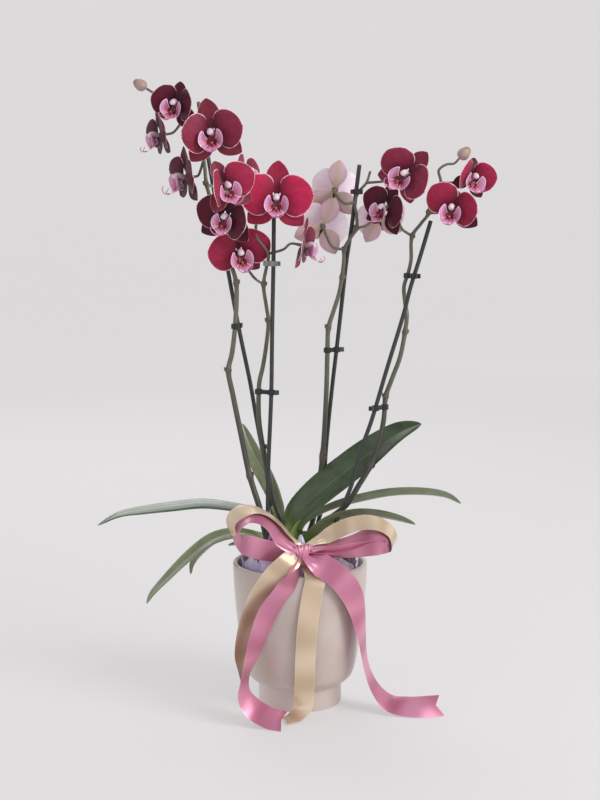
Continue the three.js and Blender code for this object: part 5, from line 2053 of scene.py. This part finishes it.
@dataclass(frozen=True)
class Studio:
    """Pale floor that curves up all round, soft lights and the camera, in metres."""

    floor: float = 3.4
    bend: float = 1.4
    wall: float = 4.2
    aim: Point = (0, 0, 0.35)
    eye: Point = (0, -1.581, 0.536)
    tilt: float = 82.45
    lens: float = 68.1
    sensor: float = 36.0

    def backdrop(self) -> None:
        """Floor and wall in one bowl."""
        profile = [(0, 0), (1, 0), (2, 0), (self.floor, 0)]
        for i in range(1, 11):
            angle = math.pi / 2 * i / 10
            radius = self.floor + self.bend * math.sin(angle)
            profile.append((radius, self.bend - self.bend * math.cos(angle)))
        profile.append((self.floor + self.bend, self.wall))
        bowl = bmesh.new()
        revolve(bowl, profile, 64, weld=1e-5)
        data = bpy.data.meshes.new("backdrop")
        bowl.to_mesh(data)
        bowl.free()
        data.materials.append(self.paint())
        backdrop = bpy.data.objects.new("backdrop", data)
        bpy.context.scene.collection.objects.link(backdrop)

    def paint(self) -> bpy.types.Material:
        """Soft grey paint that brightens away from the plant."""
        recipe = Recipe("pale studio floor")
        cloud = recipe.mottle(recipe.object, 1.5, 2.0)
        colour = recipe.blend(cloud, (0.33, 0.322, 0.326, 1), (0.315, 0.307, 0.311, 1), 0.2)
        reach = recipe.add("ShaderNodeVectorMath", {0: recipe.object}, operation="LENGTH").outputs["Value"]
        far = recipe.span(reach, 2.0, 3.6)
        glow = recipe.blend(far, (0.85, 0.832, 0.837, 1), (0.996, 0.975, 0.98, 1))
        return recipe.close(colour, Roughness=0.9, Emission_Color=glow, Emission_Strength=0.48)

    def lamp(self, name: str, at: Point, size: float, power: float, colour: Point = (1, 1, 1)) -> None:
        """Soft square light aimed at the middle of the plant.

        Args:
            name: the light's name.
            at: its place in metres.
            size: its side in metres.
            power: in watts.
            colour: of its light.
        """
        data = bpy.data.lights.new(name, "AREA")
        data.size = size
        data.energy = power
        data.color = colour
        lamp = bpy.data.objects.new(name, data)
        lamp.location = at
        way = Vector(self.aim) - Vector(at)
        lamp.rotation_euler = way.to_track_quat("-Z", "Y").to_euler()
        bpy.context.scene.collection.objects.link(lamp)

    def camera(self) -> None:
        """Camera at the photograph's place."""
        data = bpy.data.cameras.new("camera")
        data.sensor_width = self.sensor
        data.sensor_fit = "AUTO"
        data.lens = self.lens
        camera = bpy.data.objects.new("camera", data)
        camera.location = self.eye
        camera.rotation_euler = (math.radians(self.tilt), 0, 0)
        bpy.context.scene.collection.objects.link(camera)
        bpy.context.scene.camera = camera

    def make(self) -> None:
        """Build the studio."""
        self.camera()
        self.backdrop()
        self.lamp("window light", (1.7, -1.3, 1.7), 1.3, 42, (1, 0.985, 0.96))
        self.lamp("fill light", (-1.9, -1.5, 1.2), 1.8, 4, (0.95, 0.97, 1))
        self.lamp("back light", (-0.6, 1.9, 1.8), 1.6, 16)
        world = bpy.data.worlds.new("studio")
        bpy.context.scene.world = world
        world.use_nodes = True
        sky = world.node_tree.nodes["Background"].inputs
        sky["Color"].default_value = (0.9, 0.92, 0.95, 1)
        sky["Strength"].default_value = 0.5
        bpy.context.scene.view_settings.view_transform = "Standard"


def main() -> None:
    """Build every piece in order, from the pot up."""
    Studio().make()
    pots = (Pot(), GrowingPot(), BarkMix(), Tissue())
    for piece in (*pots, *PLANTS, *STAKES, *SPIKES, *CLIPS, *BUDS, *RIBBONS):
        piece.make()
    for index, bloom in enumerate(BLOOMS):
        bloom.tepals(31 + index)
        bloom.lip(61 + index)


if __name__ == "__main__":
    logging.basicConfig(level=logging.INFO, format="%(name)s: %(message)s")
    main()
